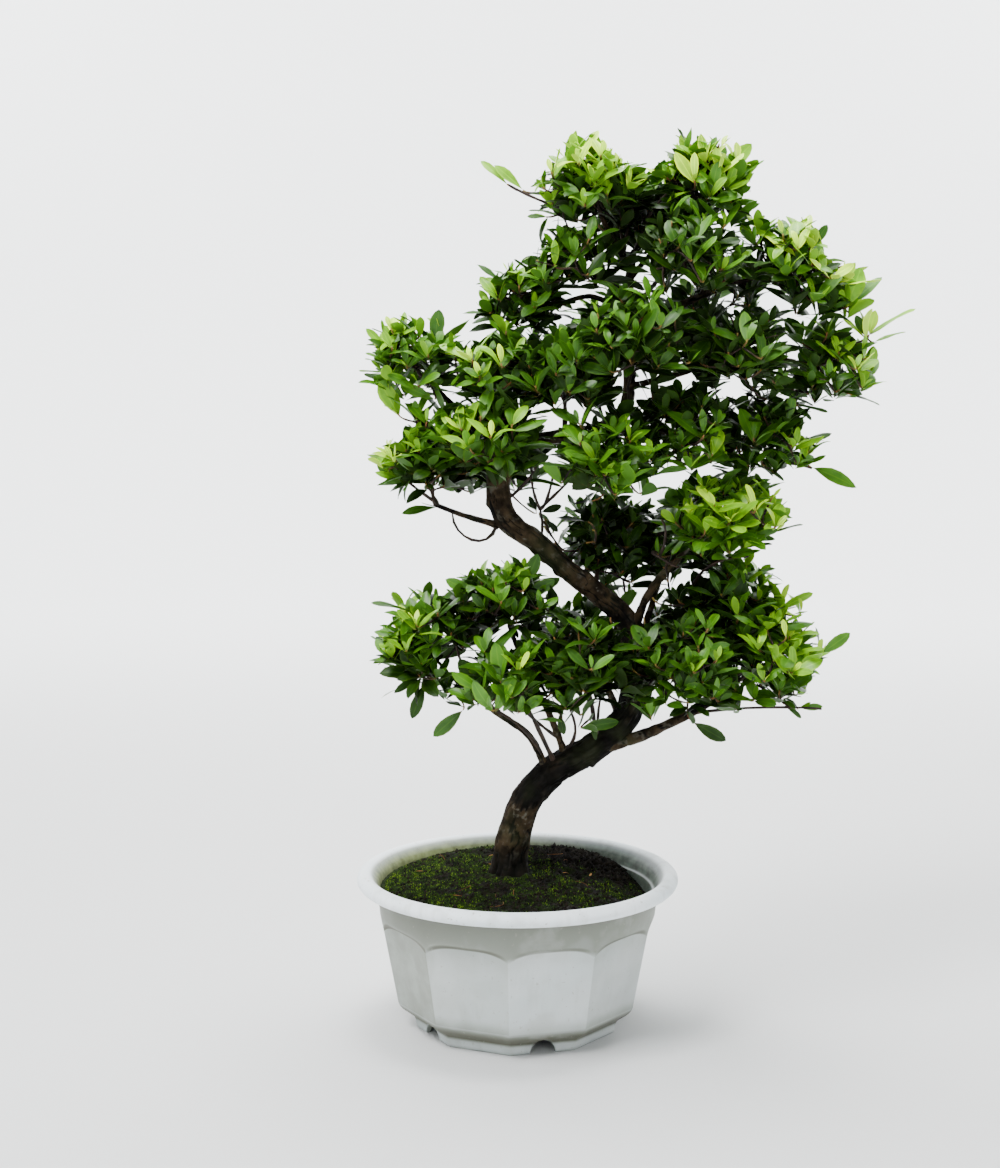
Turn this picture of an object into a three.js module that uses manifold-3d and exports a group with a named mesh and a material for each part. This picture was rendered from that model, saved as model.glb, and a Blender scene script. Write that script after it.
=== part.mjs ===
// An azalea grown as a bonsai, in a round plastic pot with a ten-sided body.
// Millimetres, +Z up, +X to the right as the tree is seen from its front, -Y towards the viewer.
// The origin is the centre of the pot's underside, on the surface that it stands on.
import * as THREE from 'three';
import { mergeVertices } from 'three/addons/utils/BufferGeometryUtils.js';
import Module from 'manifold-3d';

const wasm = await Module();
wasm.setup();

// Driving dimensions of the fit and of the faceting
const clearance = 0.3;        // between pieces that touch on the real plant
const goldenAngle = Math.PI * (3 - Math.sqrt(5));

// Driving dimensions of the pot
const rimRadius = 100;        // outer edge of the rolled rim
const rimTop = 96.5;          // height of the rim above the table
const facetCount = 10;        // flat panels round the body
const facetTurn = -4.15;      // degrees from the front to the first upright edge
const columnsPerFacet = 3;
const footRadius = 64.3;      // foot ring, measured to its corners like the radii below
const bodyFootRadius = 76.2;  // lower end of the panels
const panelFoot = 17;
const bodyTopRadius = 85.3;   // upper end of the panels, at the upright edges
const panelTop = 64.6;
const archRise = 8;           // the panels' tops rise this far between two edges
const archFillet = 3;         // height of the step from panel to round collar
const collarRadius = 87.6;    // round collar under the rim
const wall = 2.8;
const floorUnder = 9;         // underside of the floor, inside the foot ring
const floorTop = 12;
const centreFootRadius = 18;  // round foot under the middle of the floor
const notchCount = 5;         // air notches in the foot ring, one in every second panel
const notchRadius = 8.4;
const notchDepth = 16;        // through the ring, with room to spare at both sides
const notchSides = 12;

// Driving dimensions of the soil
const soilEdge = 86;          // where the soil meets the wall
const soilTop = 93;           // flat seat of the trunk, on the soil's mound
const seatRadius = 17;
const soilRadius = 83.3;      // of its edge
const soilColumns = 30;
const moundShares = [0.12, 0.27, 0.43, 0.6, 0.8, 1];  // of the way from the edge to the seat
const lumpHeight = 1.1;
const lumpWave = 7.5;         // its lumps lie about 2 pi times this apart
const bankRise = 4.6;         // the soil is heaped up at the back, as angles from +X towards +Y
const bankAngle = 1.31;
const bankPower = 4;
const dipDepth = 11.5;        // and has fallen away from the wall at the right
const dipAngle = 0.14;
const dipPower = 36;
const soilWaist = [71.5, 79.3];     // height and radius under the pot's arches
const soilShoulder = [75.8, 82.8];  // and above them

// Driving dimensions of the trunk: knots are x, y, z and radius
const trunkSides = 9;
const trunkStep = 13;         // length between rings
const trunkFoot = [-4.5, 8, soilTop + clearance, 11.3];
const rootFlare = 3.6;        // how far the foot widens
const flareHeight = 9;
const trunkKnots = [
  trunkFoot, [-4, 8, 104, 10.9], [3, 6, 133, 9.8], [11, 5, 147, 9.6], [25, 4, 160, 9.4],
  [51, 3, 176, 9], [69, 3, 196, 8.6], [72, 4, 221, 7.8], [70, 5, 248, 7.4],
  [51, 4, 268, 7], [31, 2, 284, 7], [11, 0, 302, 7.2], [-7, 0, 315, 7.6],
  [-13, 2, 330, 7.8], [-11, 4, 347, 7.4], [-1, 6, 358, 6], [17, 8, 364, 5],
  [45, 10, 369, 4.6], [62, 12, 376, 4.4], [68, 12, 390, 4.2], [68, 10, 419, 3.8],
  [67, 10, 449, 3.2], [70, 10, 478, 2.4],
];
// Each length of trunk runs from one knot to another and ends at a bend
const trunkLengths = [
  ['trunk_lower', 0, 8], ['trunk_diagonal', 8, 12], ['trunk_crook', 12, 15],
  ['trunk_cross', 15, 18], ['trunk_leader', 18, 22],
];

// Boughs: knots from a point inside the trunk out to the tip, and the radius at each end
const boughSides = 5;
const boughStep = 22;
const boughs = {
  bough_lower_left: [[[19, 3, 157], [7, -5, 182], [-11, -9, 196], [-33, -11, 211]], 3, 1.9],
  bough_lower_left_top: [[[31, 4, 164], [22, -6, 190], [7, -9, 221], [-4, -11, 247]], 2.6, 1.7],
  bough_lower_right: [[[48, 3, 173], [75, -2, 181], [102, -6, 194], [128, -8, 209]], 4.2, 2.2],
  bough_lower_right_top: [[[71, 5, 236], [94, 10, 247], [113, 13, 258]], 2.6, 1.8],
  bough_lower_back: [[[64, 3, 190], [58, 20, 205], [49, 34, 216]], 2.8, 1.9],
  bough_mid_right: [[[71, 5, 243], [80, -5, 270], [96, -10, 291], [107, -12, 303]], 3.4, 2],
  bough_mid_right_back: [[[71, 5, 226], [84, 24, 258], [93, 35, 283]], 2.6, 1.8],
  bough_mid_left: [[[-12, 1, 312], [-32, -6, 318], [-50, -9, 325]], 2.2, 1.6],
  bough_upper_left: [[[-12, 4, 342], [-30, -2, 374], [-47, -4, 392], [-58, -5, 402]], 3, 1.8],
  bough_upper_left_inner: [[[67, 10, 440], [45, 8, 451], [24, 7, 446]], 2.2, 1.7],
  bough_centre_right: [[[68, 11, 396], [93, -6, 403], [112, -18, 409]], 2.6, 1.8],
  bough_right_low: [[[52, 11, 371], [92, 8, 368], [124, 5, 362]], 2.8, 1.9],
  bough_right_mid: [[[68, 10, 408], [110, 6, 417], [148, 4, 414], [169, 4, 411]], 3, 1.9],
  bough_right_upper: [[[67, 10, 428], [102, 2, 447], [130, -2, 459]], 3, 1.9],
  bough_right_back: [[[67, 10, 420], [92, 24, 430], [108, 33, 436]], 2.4, 1.8],
  bough_top_right: [[[68, 10, 462], [86, 1, 482], [99, -3, 494]], 2.2, 1.7],
  bough_top_left: [[[69, 10, 468], [56, 2, 487], [50, -2, 498]], 2.2, 1.7],
  bough_back_left: [[[-6, 5, 354], [-4, 20, 376], [-2, 30, 392]], 2.4, 1.8],
  bough_mid_front: [[[38, 9, 368], [45, -12, 363], [49, -26, 357]], 2.2, 1.7],
};

// Masses of foliage: centre, half sizes, what carries the stem, and number of twigs.
// A stem grows from its bough's tip, or from the seat given, a point inside a length of trunk.
// A shoot is the point that the end leaf of one more twig reaches.
const firstSeed = 11;         // each mass grows from a seed one higher than the last
const masses = {
  lower_left_tip: [[-55, -6, 236], [36, 38, 42], 'bough_lower_left', 3, { shoot: [-88, -2, 264] }],
  lower_left_top: [[-8, -10, 266], [37, 36, 29], 'bough_lower_left_top', 3],
  lower_left_front: [[-5, -42, 222], [36, 30, 29], 'trunk_lower', 3, { seat: [25, 4, 160] }],
  lower_middle: [[40, -36, 228], [32, 30, 40], 'trunk_lower', 3, { seat: [50, 3, 175] }],
  lower_right_front: [[98, -36, 228], [39, 33, 40], 'trunk_lower', 3, { seat: [71, 4, 208] }],
  lower_right_tip: [[150, -6, 230], [45, 40, 46], 'bough_lower_right', 4, { shoot: [205, -4, 246] }],
  lower_right_top: [[128, 16, 268], [42, 36, 28], 'bough_lower_right_top', 3],
  lower_back: [[40, 50, 226], [42, 34, 38], 'bough_lower_back', 3],
  lower_right_back: [[108, 46, 228], [38, 33, 36], 'trunk_lower', 3, { seat: [72, 4, 216] }],
  mid_right: [[124, -14, 317], [43, 40, 31], 'bough_mid_right', 4],
  mid_back: [[54, 40, 300], [38, 34, 34], 'trunk_diagonal', 3, { seat: [48, 4, 271] }],
  mid_right_back: [[104, 46, 300], [36, 33, 33], 'bough_mid_right_back', 3],
  mid_left_tip: [[-55, -8, 355], [35, 36, 32], 'bough_mid_left', 3, { shoot: [-69, -4, 320] }],
  mid_left: [[-14, -32, 364], [34, 30, 28], 'trunk_crook', 3, { seat: [-12, 3, 340] }],
  mid_front: [[51, -42, 354], [39, 31, 33], 'bough_mid_front', 3],
  mid_left_back: [[-12, 42, 352], [38, 34, 30], 'trunk_crook', 3, { seat: [-13, 3, 333] }],
  upper_left_tip: [[-64, -5, 411], [30, 34, 30], 'bough_upper_left', 3, { shoot: [-92, -2, 431] }],
  upper_left: [[-15, -22, 407], [33, 32, 28], 'trunk_crook', 3, { seat: [-2, 6, 357] }],
  upper_left_inner: [[0, 6, 448], [35, 34, 24], 'bough_upper_left_inner', 3],
  centre_front: [[68, -44, 420], [42, 32, 36], 'trunk_leader', 3, { seat: [68, 11, 402] }],
  centre_left: [[28, -34, 402], [30, 30, 30], 'trunk_cross', 3, { seat: [28, 9, 366] }],
  centre_right: [[132, -28, 414], [34, 33, 32], 'bough_centre_right', 3],
  centre_low: [[98, -28, 368], [34, 31, 29], 'trunk_cross', 3, { seat: [56, 11, 373] }],
  right_low: [[150, 4, 366], [42, 36, 27], 'bough_right_low', 3, { shoot: [208, 0, 338] }],
  right_mid: [[189, 4, 408], [35, 36, 30], 'bough_right_mid', 3, { shoot: [238, 0, 442] }],
  right_upper: [[168, -4, 467], [48, 42, 33], 'bough_right_upper', 4],
  top_right: [[114, -5, 517], [31, 34, 35], 'bough_top_right', 3, { shoot: [98, -6, 552] }],
  top_left: [[45, -5, 515], [38, 36, 32], 'bough_top_left', 4, { shoot: [-21, -8, 531] }],
  top_left_low: [[30, -16, 468], [31, 30, 23], 'trunk_leader', 3, { seat: [67, 10, 452] }],
  top_back: [[82, 38, 498], [42, 34, 36], 'trunk_leader', 3],
  centre_back: [[58, 52, 425], [44, 35, 40], 'trunk_leader', 3, { seat: [68, 11, 412] }],
  right_back: [[130, 42, 442], [40, 33, 36], 'bough_right_back', 3],
  upper_left_back: [[-2, 42, 404], [36, 31, 31], 'bough_back_left', 3],
  top_front: [[100, -34, 472], [34, 30, 30], 'trunk_leader', 3, { seat: [67, 10, 444] }],
};

// Driving dimensions of the twigs and leaves
const stemRadius = 3.2;       // to the corners of its three-sided section, like the radii below
const stemTipRadius = 3;
const stemGap = 0.35;         // from a bough's tip, just over the clearance
const stemFromBough = 0.6;    // share of the way to a mass's centre that its stem runs
const stemFromTrunk = 0.8;
const stemLift = 0.12;        // a seated stem bows up by this share of its length
const stemStep = 20;
const twigRadius = 1.75;
const tipRadius = 1.7;
const leafLength = 45;
const leafWidth = 21;
const leafWidest = 0.6;        // share of a leaf's length where it is widest
const leafThickness = 1.4;
const leavesPerTwig = 5;
const shootLeaf = 0.7;        // a shoot's leaves against the others
const leafSpacing = 5;         // along the twig, from one leaf's root to the next
const tipInner = 0.6;         // least distance of a twig's tip, as a share of the mass's reach
const tipOuter = 0.5;         // or this share of a leaf inside it
const reachSlack = 1.04;      // a leaf may pass the half sizes by this much
const leafSink = 0.9;         // how far a leaf's root runs past its twig's middle line
const cellMargin = 0.4;       // from the plane between two masses
const limbMargin = 2.2;       // from a leaf's middle line or edge to a limb's bark

// Small helpers
const point = (x, y, z) => new THREE.Vector3(x, y, z);
const fromArray = (a) => new THREE.Vector3(a[0], a[1], a[2]);
const radians = THREE.MathUtils.degToRad;
const mix = (a, b, t) => a + (b - a) * t;

// Seeded random numbers between 0 and 1
function randomFrom(seed) {
  let state = seed | 0;
  return () => {
    state = (state + 0x6d2b79f5) | 0;
    let t = Math.imul(state ^ (state >>> 15), 1 | state);
    t = (t + Math.imul(t ^ (t >>> 7), 61 | t)) ^ t;
    return ((t ^ (t >>> 14)) >>> 0) / 4294967296;
  };
}

// Volume inside a closed mesh, negative where its faces point inwards
function signedVolume(positions, index) {
  const corner = (i) => point(positions[3 * i], positions[3 * i + 1], positions[3 * i + 2]);
  let volume = 0;
  for (let t = 0; t < index.length; t += 3) {
    volume += corner(index[t]).dot(corner(index[t + 1]).cross(corner(index[t + 2]))) / 6;
  }
  return volume;
}

// Mesh of a closed surface, with its faces turned outwards
function closedMesh(positions, index) {
  const geometry = new THREE.BufferGeometry();
  geometry.setAttribute('position', new THREE.Float32BufferAttribute(positions, 3));
  geometry.setIndex(signedVolume(positions, index) < 0 ? index.reverse() : index);
  return geometry;
}

// Closed skin over rings of equal count, with a fan to a point at each end, faces outwards
function skin(rings, startPoint, endPoint) {
  const positions = [];
  const index = [];
  const count = rings[0].length;
  for (const ring of rings) {
    for (const p of ring) positions.push(p.x, p.y, p.z);
  }
  const start = rings.length * count;
  const end = start + 1;
  positions.push(startPoint.x, startPoint.y, startPoint.z, endPoint.x, endPoint.y, endPoint.z);
  for (let i = 0; i < count; i++) {
    const next = (i + 1) % count;
    index.push(start, next, i);
    for (let row = 0; row < rings.length - 1; row++) {
      const a = row * count;
      const b = a + count;
      index.push(a + i, a + next, b + next, a + i, b + next, b + i);
    }
    const last = (rings.length - 1) * count;
    index.push(end, last + i, last + next);
  }
  return closedMesh(positions, index);
}

// Closed prism between two triangles
function prism(bottom, top) {
  const positions = [...bottom, ...top].flatMap((p) => p.toArray());
  const index = [0, 2, 1, 3, 4, 5, 0, 1, 4, 0, 4, 3, 1, 2, 5, 1, 5, 4, 2, 0, 3, 2, 3, 5];
  return closedMesh(positions, index);
}

// Turn a closed geometry into a solid, and back
function toSolid(geometry) {
  let plain = geometry.clone();
  plain.deleteAttribute('normal');
  plain.deleteAttribute('uv');
  plain = mergeVertices(plain, 1e-5);
  return new wasm.Manifold(new wasm.Mesh({
    numProp: 3,
    vertProperties: new Float32Array(plain.attributes.position.array),
    triVerts: new Uint32Array(plain.index.array),
  }));
}

function toGeometry(solid) {
  const mesh = solid.getMesh();
  const geometry = new THREE.BufferGeometry();
  geometry.setAttribute('position', new THREE.BufferAttribute(mesh.vertProperties, mesh.numProp));
  geometry.setIndex(new THREE.BufferAttribute(mesh.triVerts, 1));
  return mergeVertices(geometry, 1e-3);
}

// Keep the piece with the most volume: loose scraps and the walls of sealed hollows go
function mainPiece(geometry) {
  const positions = geometry.attributes.position;
  const index = Array.from(geometry.index.array);
  const parent = Array.from({ length: positions.count }, (_, i) => i);
  const find = (i) => {
    while (parent[i] !== i) {
      parent[i] = parent[parent[i]];
      i = parent[i];
    }
    return i;
  };
  for (let t = 0; t < index.length; t += 3) {
    parent[find(index[t + 1])] = find(index[t]);
    parent[find(index[t + 2])] = find(index[t]);
  }
  const volumes = new Map();
  const a = new THREE.Vector3();
  const b = new THREE.Vector3();
  const c = new THREE.Vector3();
  for (let t = 0; t < index.length; t += 3) {
    a.fromBufferAttribute(positions, index[t]);
    b.fromBufferAttribute(positions, index[t + 1]);
    c.fromBufferAttribute(positions, index[t + 2]);
    const key = find(index[t]);
    volumes.set(key, (volumes.get(key) || 0) + a.dot(b.cross(c)) / 6);
  }
  const best = [...volumes].sort((p, q) => q[1] - p[1])[0][0];
  const kept = [];
  for (let t = 0; t < index.length; t += 3) {
    const flat = index[t] === index[t + 1] || index[t + 1] === index[t + 2] || index[t] === index[t + 2];
    if (!flat && find(index[t]) === best) kept.push(index[t], index[t + 1], index[t + 2]);
  }
  const result = new THREE.BufferGeometry();
  result.setAttribute('position', positions);
  result.setIndex(kept);
  return result;
}

// The pot. A point of its body lies at an angle round the axis, from the front towards +X.
const aroundPot = (radius, angle, z) => point(radius * Math.sin(angle), -radius * Math.cos(angle), z);
const facetAngle = (2 * Math.PI) / facetCount;

// Angle from the middle of the nearest panel, as a share of half a panel: -1 to 1
function panelShare(angle) {
  const turned = (angle - radians(facetTurn)) / facetAngle;
  return 2 * (turned - Math.floor(turned)) - 1;
}

// A panel is flat, so between two corners its radius falls as 1 / cosine
const flatRadius = (corner, share) => (
  corner * Math.cos(facetAngle / 2) / Math.cos(share * facetAngle / 2)
);

// The panels lean out at one slope, and each ends at the top in a shallow arch
const cornerAt = (z) => mix(bodyFootRadius, bodyTopRadius, (z - panelFoot) / (panelTop - panelFoot));
const archAt = (share) => panelTop + archRise * (1 - Math.abs(share) ** 2.5);
const roundAt = (z) => mix(bodyTopRadius, collarRadius, (z - panelTop) / (rimTop - 9 - panelTop));

// One row of the pot's profile: its height and radius for each column, as functions of the share
const flatRow = (z, corner) => ({ z: () => z, r: (share) => flatRadius(corner, share) });
const roundRow = (z, radius) => ({ z: () => z, r: () => radius });
const archRow = (rise, blend, inset) => ({
  z: (share) => archAt(share) + rise,
  r: (share) => {
    const z = archAt(share) + rise;
    return mix(flatRadius(cornerAt(z), share), roundAt(z), blend) - inset;
  },
});

function potRings(rows, columns, turn) {
  return rows.map((row) => Array.from({ length: columns }, (_, i) => {
    const angle = turn + (i * 2 * Math.PI) / columns;
    const share = panelShare(angle);
    return aroundPot(row.r(share), angle, row.z(share));
  }));
}

function makePot() {
  const rimCentre = rimRadius - 5.2;
  const rimMiddle = rimTop - 4.4;
  const roll = [];
  for (let i = 0; i <= 6; i++) {
    const angle = -Math.PI / 2 + (i * 1.5 * Math.PI) / 6 * 0.92;
    roll.push(roundRow(rimMiddle + 4.4 * Math.sin(angle), rimCentre + 5.2 * Math.cos(angle)));
  }
  const rows = [
    roundRow(0, centreFootRadius),
    roundRow(floorUnder, centreFootRadius + 1),
    flatRow(floorUnder, footRadius - 4.4),
    flatRow(0, footRadius - 3.4),
    flatRow(0, footRadius),
    flatRow(9.5, footRadius + 1.6),
    flatRow(12, footRadius + 7),
    flatRow(14.6, bodyFootRadius - 0.6),
    flatRow(panelFoot, bodyFootRadius),
    archRow(0, 0, 0),
    archRow(archFillet / 2, 0.62, 0),
    archRow(archFillet, 1, 0),
    roundRow(80, roundAt(80)),
    roundRow(rimTop - 8.8, collarRadius),
    ...roll,
    roundRow(soilEdge + 3, 86.6),
    roundRow(soilEdge - 0.8, 85.8),
    roundRow(soilEdge - 1.4, 84.4),
    archRow(archFillet, 1, wall),
    archRow(-1, 0, wall),
    flatRow(panelFoot, bodyFootRadius - wall),
    flatRow(floorTop, footRadius + 3),
  ];
  const columns = facetCount * columnsPerFacet;
  const body = skin(potRings(rows, columns, radians(facetTurn)), point(0, 0, 0), point(0, 0, floorTop));
  let solid = toSolid(body);
  const notch = new THREE.CylinderGeometry(notchRadius, notchRadius, notchDepth, notchSides);
  for (let i = 0; i < notchCount; i++) {
    const angle = radians(facetTurn) + facetAngle * (2 * i + 0.5);
    const cut = notch.clone().rotateZ(angle);
    cut.translate(...aroundPot(footRadius - 3, angle, 0).toArray());
    solid = solid.subtract(toSolid(cut));
  }
  return mainPiece(toGeometry(solid));
}

// Height of the soil at a share of the way from its edge to the seat: a mound whose edge swells
// and sinks by a power of the cosine of half the angle from a side, and crossing waves that fade
// at both ends
function soilHeight(x, y, share) {
  const turn = Math.atan2(y, x);
  const near = (at, power) => Math.cos((turn - at) / 2) ** power;
  const edge = soilEdge + bankRise * near(bankAngle, bankPower) - dipDepth * near(dipAngle, dipPower);
  const fade = Math.min(1, 5 * share, 4 * (1 - share));
  const waves = Math.sin(x / lumpWave + 0.8) * Math.cos(y / lumpWave - 0.4)
    + 0.5 * Math.sin((x - 0.6 * y) / (1.6 * lumpWave) + 2);
  return mix(edge, soilTop, Math.sin((share * Math.PI) / 2)) + lumpHeight * fade * waves;
}

// The soil fills the pot to below its rim and rises in a lumpy mound to the trunk's seat
function makeSoil() {
  const rows = [
    flatRow(floorTop + clearance, footRadius + 2),
    flatRow(panelFoot, bodyFootRadius - wall - 0.8),
    flatRow(panelTop - 2, cornerAt(panelTop - 2) - wall - 0.8),
    roundRow(panelTop + 2, flatRadius(cornerAt(panelTop), 0) - wall - 1),
    roundRow(...soilWaist),
    roundRow(...soilShoulder),
    roundRow(soilEdge, soilRadius),
  ];
  const rings = potRings(rows, soilColumns, radians(facetTurn));
  const edge = rings[rings.length - 1];
  const seat = edge.map((p) => point(
    trunkFoot[0] + (p.x / soilRadius) * seatRadius,
    trunkFoot[1] + (p.y / soilRadius) * seatRadius,
    soilTop,
  ));
  for (const p of edge) p.z = soilHeight(p.x, p.y, 0);
  for (const share of moundShares) {
    rings.push(edge.map((p, i) => {
      const q = p.clone().lerp(seat[i], share);
      q.z = soilHeight(q.x, q.y, share);
      return q;
    }));
  }
  return skin(rings, point(0, 0, floorTop + clearance), point(trunkFoot[0], trunkFoot[1], soilTop));
}

// Limbs: a curve through the knots, a radius that tapers between them, and rings across it
function makeLimb(name, knots, radii, sides, step) {
  const curve = new THREE.CatmullRomCurve3(knots.map(fromArray), false, 'centripetal');
  curve.arcLengthDivisions = 400;
  const count = Math.max(2, Math.round(curve.getLength() / step));
  const frames = curve.computeFrenetFrames(count, false);
  const stations = [];
  for (let i = 0; i <= count; i++) {
    const t = curve.getUtoTmapping(i / count);
    const place = Math.min(t * (knots.length - 1), knots.length - 1 - 1e-9);
    const knot = Math.floor(place);
    stations.push({
      centre: curve.getPoint(t),
      radius: mix(radii[knot], radii[knot + 1], place - knot),
      along: i * curve.getLength() / count,
      knot: place,
      tangent: frames.tangents[i],
      normal: frames.normals[i],
      binormal: frames.binormals[i],
    });
  }
  return { name, curve, stations, sides };
}

// Cross-section ring of a limb about a point, grown outwards
function limbRing(limb, station, centre, grow) {
  return Array.from({ length: limb.sides }, (_, i) => {
    const angle = (i * 2 * Math.PI) / limb.sides;
    const lobes = limb.flare ? limb.flare(station.along, angle) : 0;
    const radius = station.radius + lobes + grow / Math.cos(Math.PI / limb.sides);
    return centre.clone()
      .addScaledVector(station.normal, radius * Math.cos(angle))
      .addScaledVector(station.binormal, radius * Math.sin(angle));
  });
}

function limbGeometry(limb, grow = 0, trimStart = 0, trimEnd = 0) {
  const { stations, footNormal } = limb;
  const last = stations.length - 1;
  const pushes = stations.map((_, i) => (i === 0 ? trimStart - grow : i === last ? grow - trimEnd : 0));
  const centres = stations.map((s, i) => s.centre.clone().addScaledVector(s.tangent, pushes[i]));
  const rings = stations.map((station, i) => limbRing(limb, station, centres[i], grow));
  if (footNormal) squareFoot(rings[0], centres[0], stations[0].tangent, footNormal);
  return skin(rings, centres[0], centres[last]);
}

// A stem that grows on from a bough has its foot cut square to the bough's tip
function squareFoot(ring, centre, tangent, footNormal) {
  for (const p of ring) {
    const rise = centre.clone().sub(p).dot(footNormal);
    p.addScaledVector(tangent, rise / tangent.dot(footNormal));
  }
}

// The trunk is one limb, cut across at its bends. Its foot is cut flat at the soil.
function makeTrunk() {
  const whole = makeLimb('trunk', trunkKnots, trunkKnots.map((k) => k[3]), trunkSides, trunkStep);
  const flare = (along, angle) => (
    rootFlare * Math.exp(-along / flareHeight) * (1 + 0.35 * Math.cos(4 * angle))
  );
  const pieces = {};
  for (const [name, fromKnot, toKnot] of trunkLengths) {
    const nearest = (knot) => whole.stations.reduce(
      (best, s, i) => (Math.abs(s.knot - knot) < Math.abs(whole.stations[best].knot - knot) ? i : best), 0,
    );
    const stations = whole.stations.slice(nearest(fromKnot), nearest(toKnot) + 1);
    pieces[name] = { name, stations, sides: trunkSides, flare: fromKnot === 0 ? flare : null };
  }
  const foot = pieces.trunk_lower.stations[0];
  foot.tangent = point(0, 0, 1);
  foot.normal = point(1, 0, 0);
  foot.binormal = point(0, 1, 0);
  const second = pieces.trunk_lower.stations[1];
  const turn = Math.atan2(second.normal.y, second.normal.x);
  foot.normal.applyAxisAngle(foot.tangent, turn);
  foot.binormal.applyAxisAngle(foot.tangent, turn);
  return pieces;
}

// Distance from a point to the surface of a limb, taken as a chain of tapering rods
const closest = new THREE.Vector3();
const rod = new THREE.Line3();
function limbDistance(limb, p) {
  let best = Infinity;
  for (let i = 0; i < limb.stations.length - 1; i++) {
    const a = limb.stations[i];
    const b = limb.stations[i + 1];
    rod.set(a.centre, b.centre);
    const t = rod.closestPointToPointParameter(p, true);
    rod.at(t, closest);
    best = Math.min(best, closest.distanceTo(p) - mix(a.radius, b.radius, t));
  }
  return best;
}

// A mass keeps to an ellipsoid, and to its own side of the planes between it and its neighbours
function prepareMasses(limbs) {
  const list = Object.entries(masses).map(([key, row], i) => {
    const [at, reach, carrierName, twigCount, { seat, shoot } = {}] = row;
    const centre = fromArray(at);
    const carrier = limbs[carrierName];
    const end = carrier.stations[carrier.stations.length - 1];
    const start = seat ? fromArray(seat) : end.centre.clone().addScaledVector(end.tangent, stemGap);
    const heart = start.clone().lerp(centre, seat ? stemFromTrunk : stemFromBough);
    const bend = start.clone().lerp(heart, 0.5);
    if (seat) bend.z += start.distanceTo(heart) * stemLift;
    const knots = [start, bend, heart].map((p) => p.toArray());
    const radii = [stemRadius, mix(stemRadius, stemTipRadius, 0.5), stemTipRadius];
    const stem = makeLimb(`mass_${key}`, knots, radii, 3, stemStep);
    if (!seat) stem.footNormal = end.tangent;
    return { seed: firstSeed + i, centre, reach, carrier, twigCount, seat, shoot, heart, stem };
  });
  const reachAlong = (mass, direction) => 1 / Math.hypot(
    direction.x / mass.reach[0], direction.y / mass.reach[1], direction.z / mass.reach[2],
  );
  for (const mass of list) {
    mass.reachAlong = (direction) => reachAlong(mass, direction);
    mass.planes = list.filter((other) => other !== mass).map((other) => {
      const direction = other.centre.clone().sub(mass.centre);
      const distance = direction.length();
      direction.normalize();
      const own = reachAlong(mass, direction);
      const theirs = reachAlong(other, direction);
      const offset = (distance * own) / (own + theirs);
      return { direction, limit: direction.dot(mass.centre) + offset - cellMargin };
    });
    mass.inCell = (p, room = 0) => mass.planes.every((plane) => plane.direction.dot(p) < plane.limit - room);
  }
  const inMass = ({ centre, reach }, p) => Math.hypot(
    (p.x - centre.x) / reach[0], (p.y - centre.y) / reach[1], (p.z - centre.z) / reach[2],
  ) < reachSlack;
  for (const mass of list) mass.inReach = (p) => list.some((other) => inMass(other, p));
  return list;
}

// Six corners of a leaf: a long flat octahedron, widest at its middle
function leafCorners(root, along, side, length) {
  const normal = new THREE.Vector3().crossVectors(side, along);
  const middle = root.clone().addScaledVector(along, length * leafWidest);
  const width = (leafWidth / 2) * (length / leafLength);
  return {
    root: root.clone().addScaledVector(along, -leafSink),
    tip: root.clone().addScaledVector(along, length),
    left: middle.clone().addScaledVector(side, width),
    right: middle.clone().addScaledVector(side, -width),
    top: middle.clone().addScaledVector(normal, leafThickness / 2),
    bottom: middle.clone().addScaledVector(normal, -leafThickness / 2),
  };
}

// Points spread over a leaf, near its two long halves and its middle line
function leafSamples(c) {
  const samples = [c.tip, c.left, c.right];
  for (const t of [0.3, 0.5, 0.75]) samples.push(c.root.clone().lerp(c.tip, t));
  for (const edge of [c.left, c.right]) {
    samples.push(c.root.clone().lerp(edge, 0.6), edge.clone().lerp(c.tip, 0.5));
  }
  return samples;
}

// Whether two leaves cut each other, taken as two flat triangles each
const crossing = new THREE.Ray();
const hit = new THREE.Vector3();
function leafCuts(a, b) {
  const middle = a.left.clone().lerp(a.right, 0.5);
  const outline = [[a.left, a.tip], [a.tip, a.right], [a.root, a.left], [a.right, a.root]];
  const lines = [...outline, [middle, a.tip], [a.left, a.right]];
  return lines.some(([from, to]) => {
    crossing.set(from, to.clone().sub(from).normalize());
    const length = from.distanceTo(to);
    return [[b.root, b.left, b.tip], [b.root, b.tip, b.right]].some((corners) => (
      crossing.intersectTriangle(...corners, false, hit) && hit.distanceTo(from) < length
    ));
  });
}

// A twig is a three-sided rod, with a frame across it whose first axis points at a corner
function makeTwig(a, b, radiusA, radiusB) {
  const along = b.clone().sub(a).normalize();
  const guide = Math.abs(along.z) > 0.9 ? point(1, 0, 0) : point(0, 0, 1);
  const u = new THREE.Vector3().crossVectors(along, guide).normalize();
  const v = new THREE.Vector3().crossVectors(along, u);
  return { a, b, along, u, v, radiusA, radiusB };
}

function twigGeometry({ a, b, u, v, radiusA, radiusB }) {
  const ring = (centre, radius) => [0, 1, 2].map((i) => centre.clone()
    .addScaledVector(u, radius * Math.cos((i * 2 * Math.PI) / 3))
    .addScaledVector(v, radius * Math.sin((i * 2 * Math.PI) / 3)));
  return prism(ring(a, radiusA), ring(b, radiusB));
}

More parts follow.
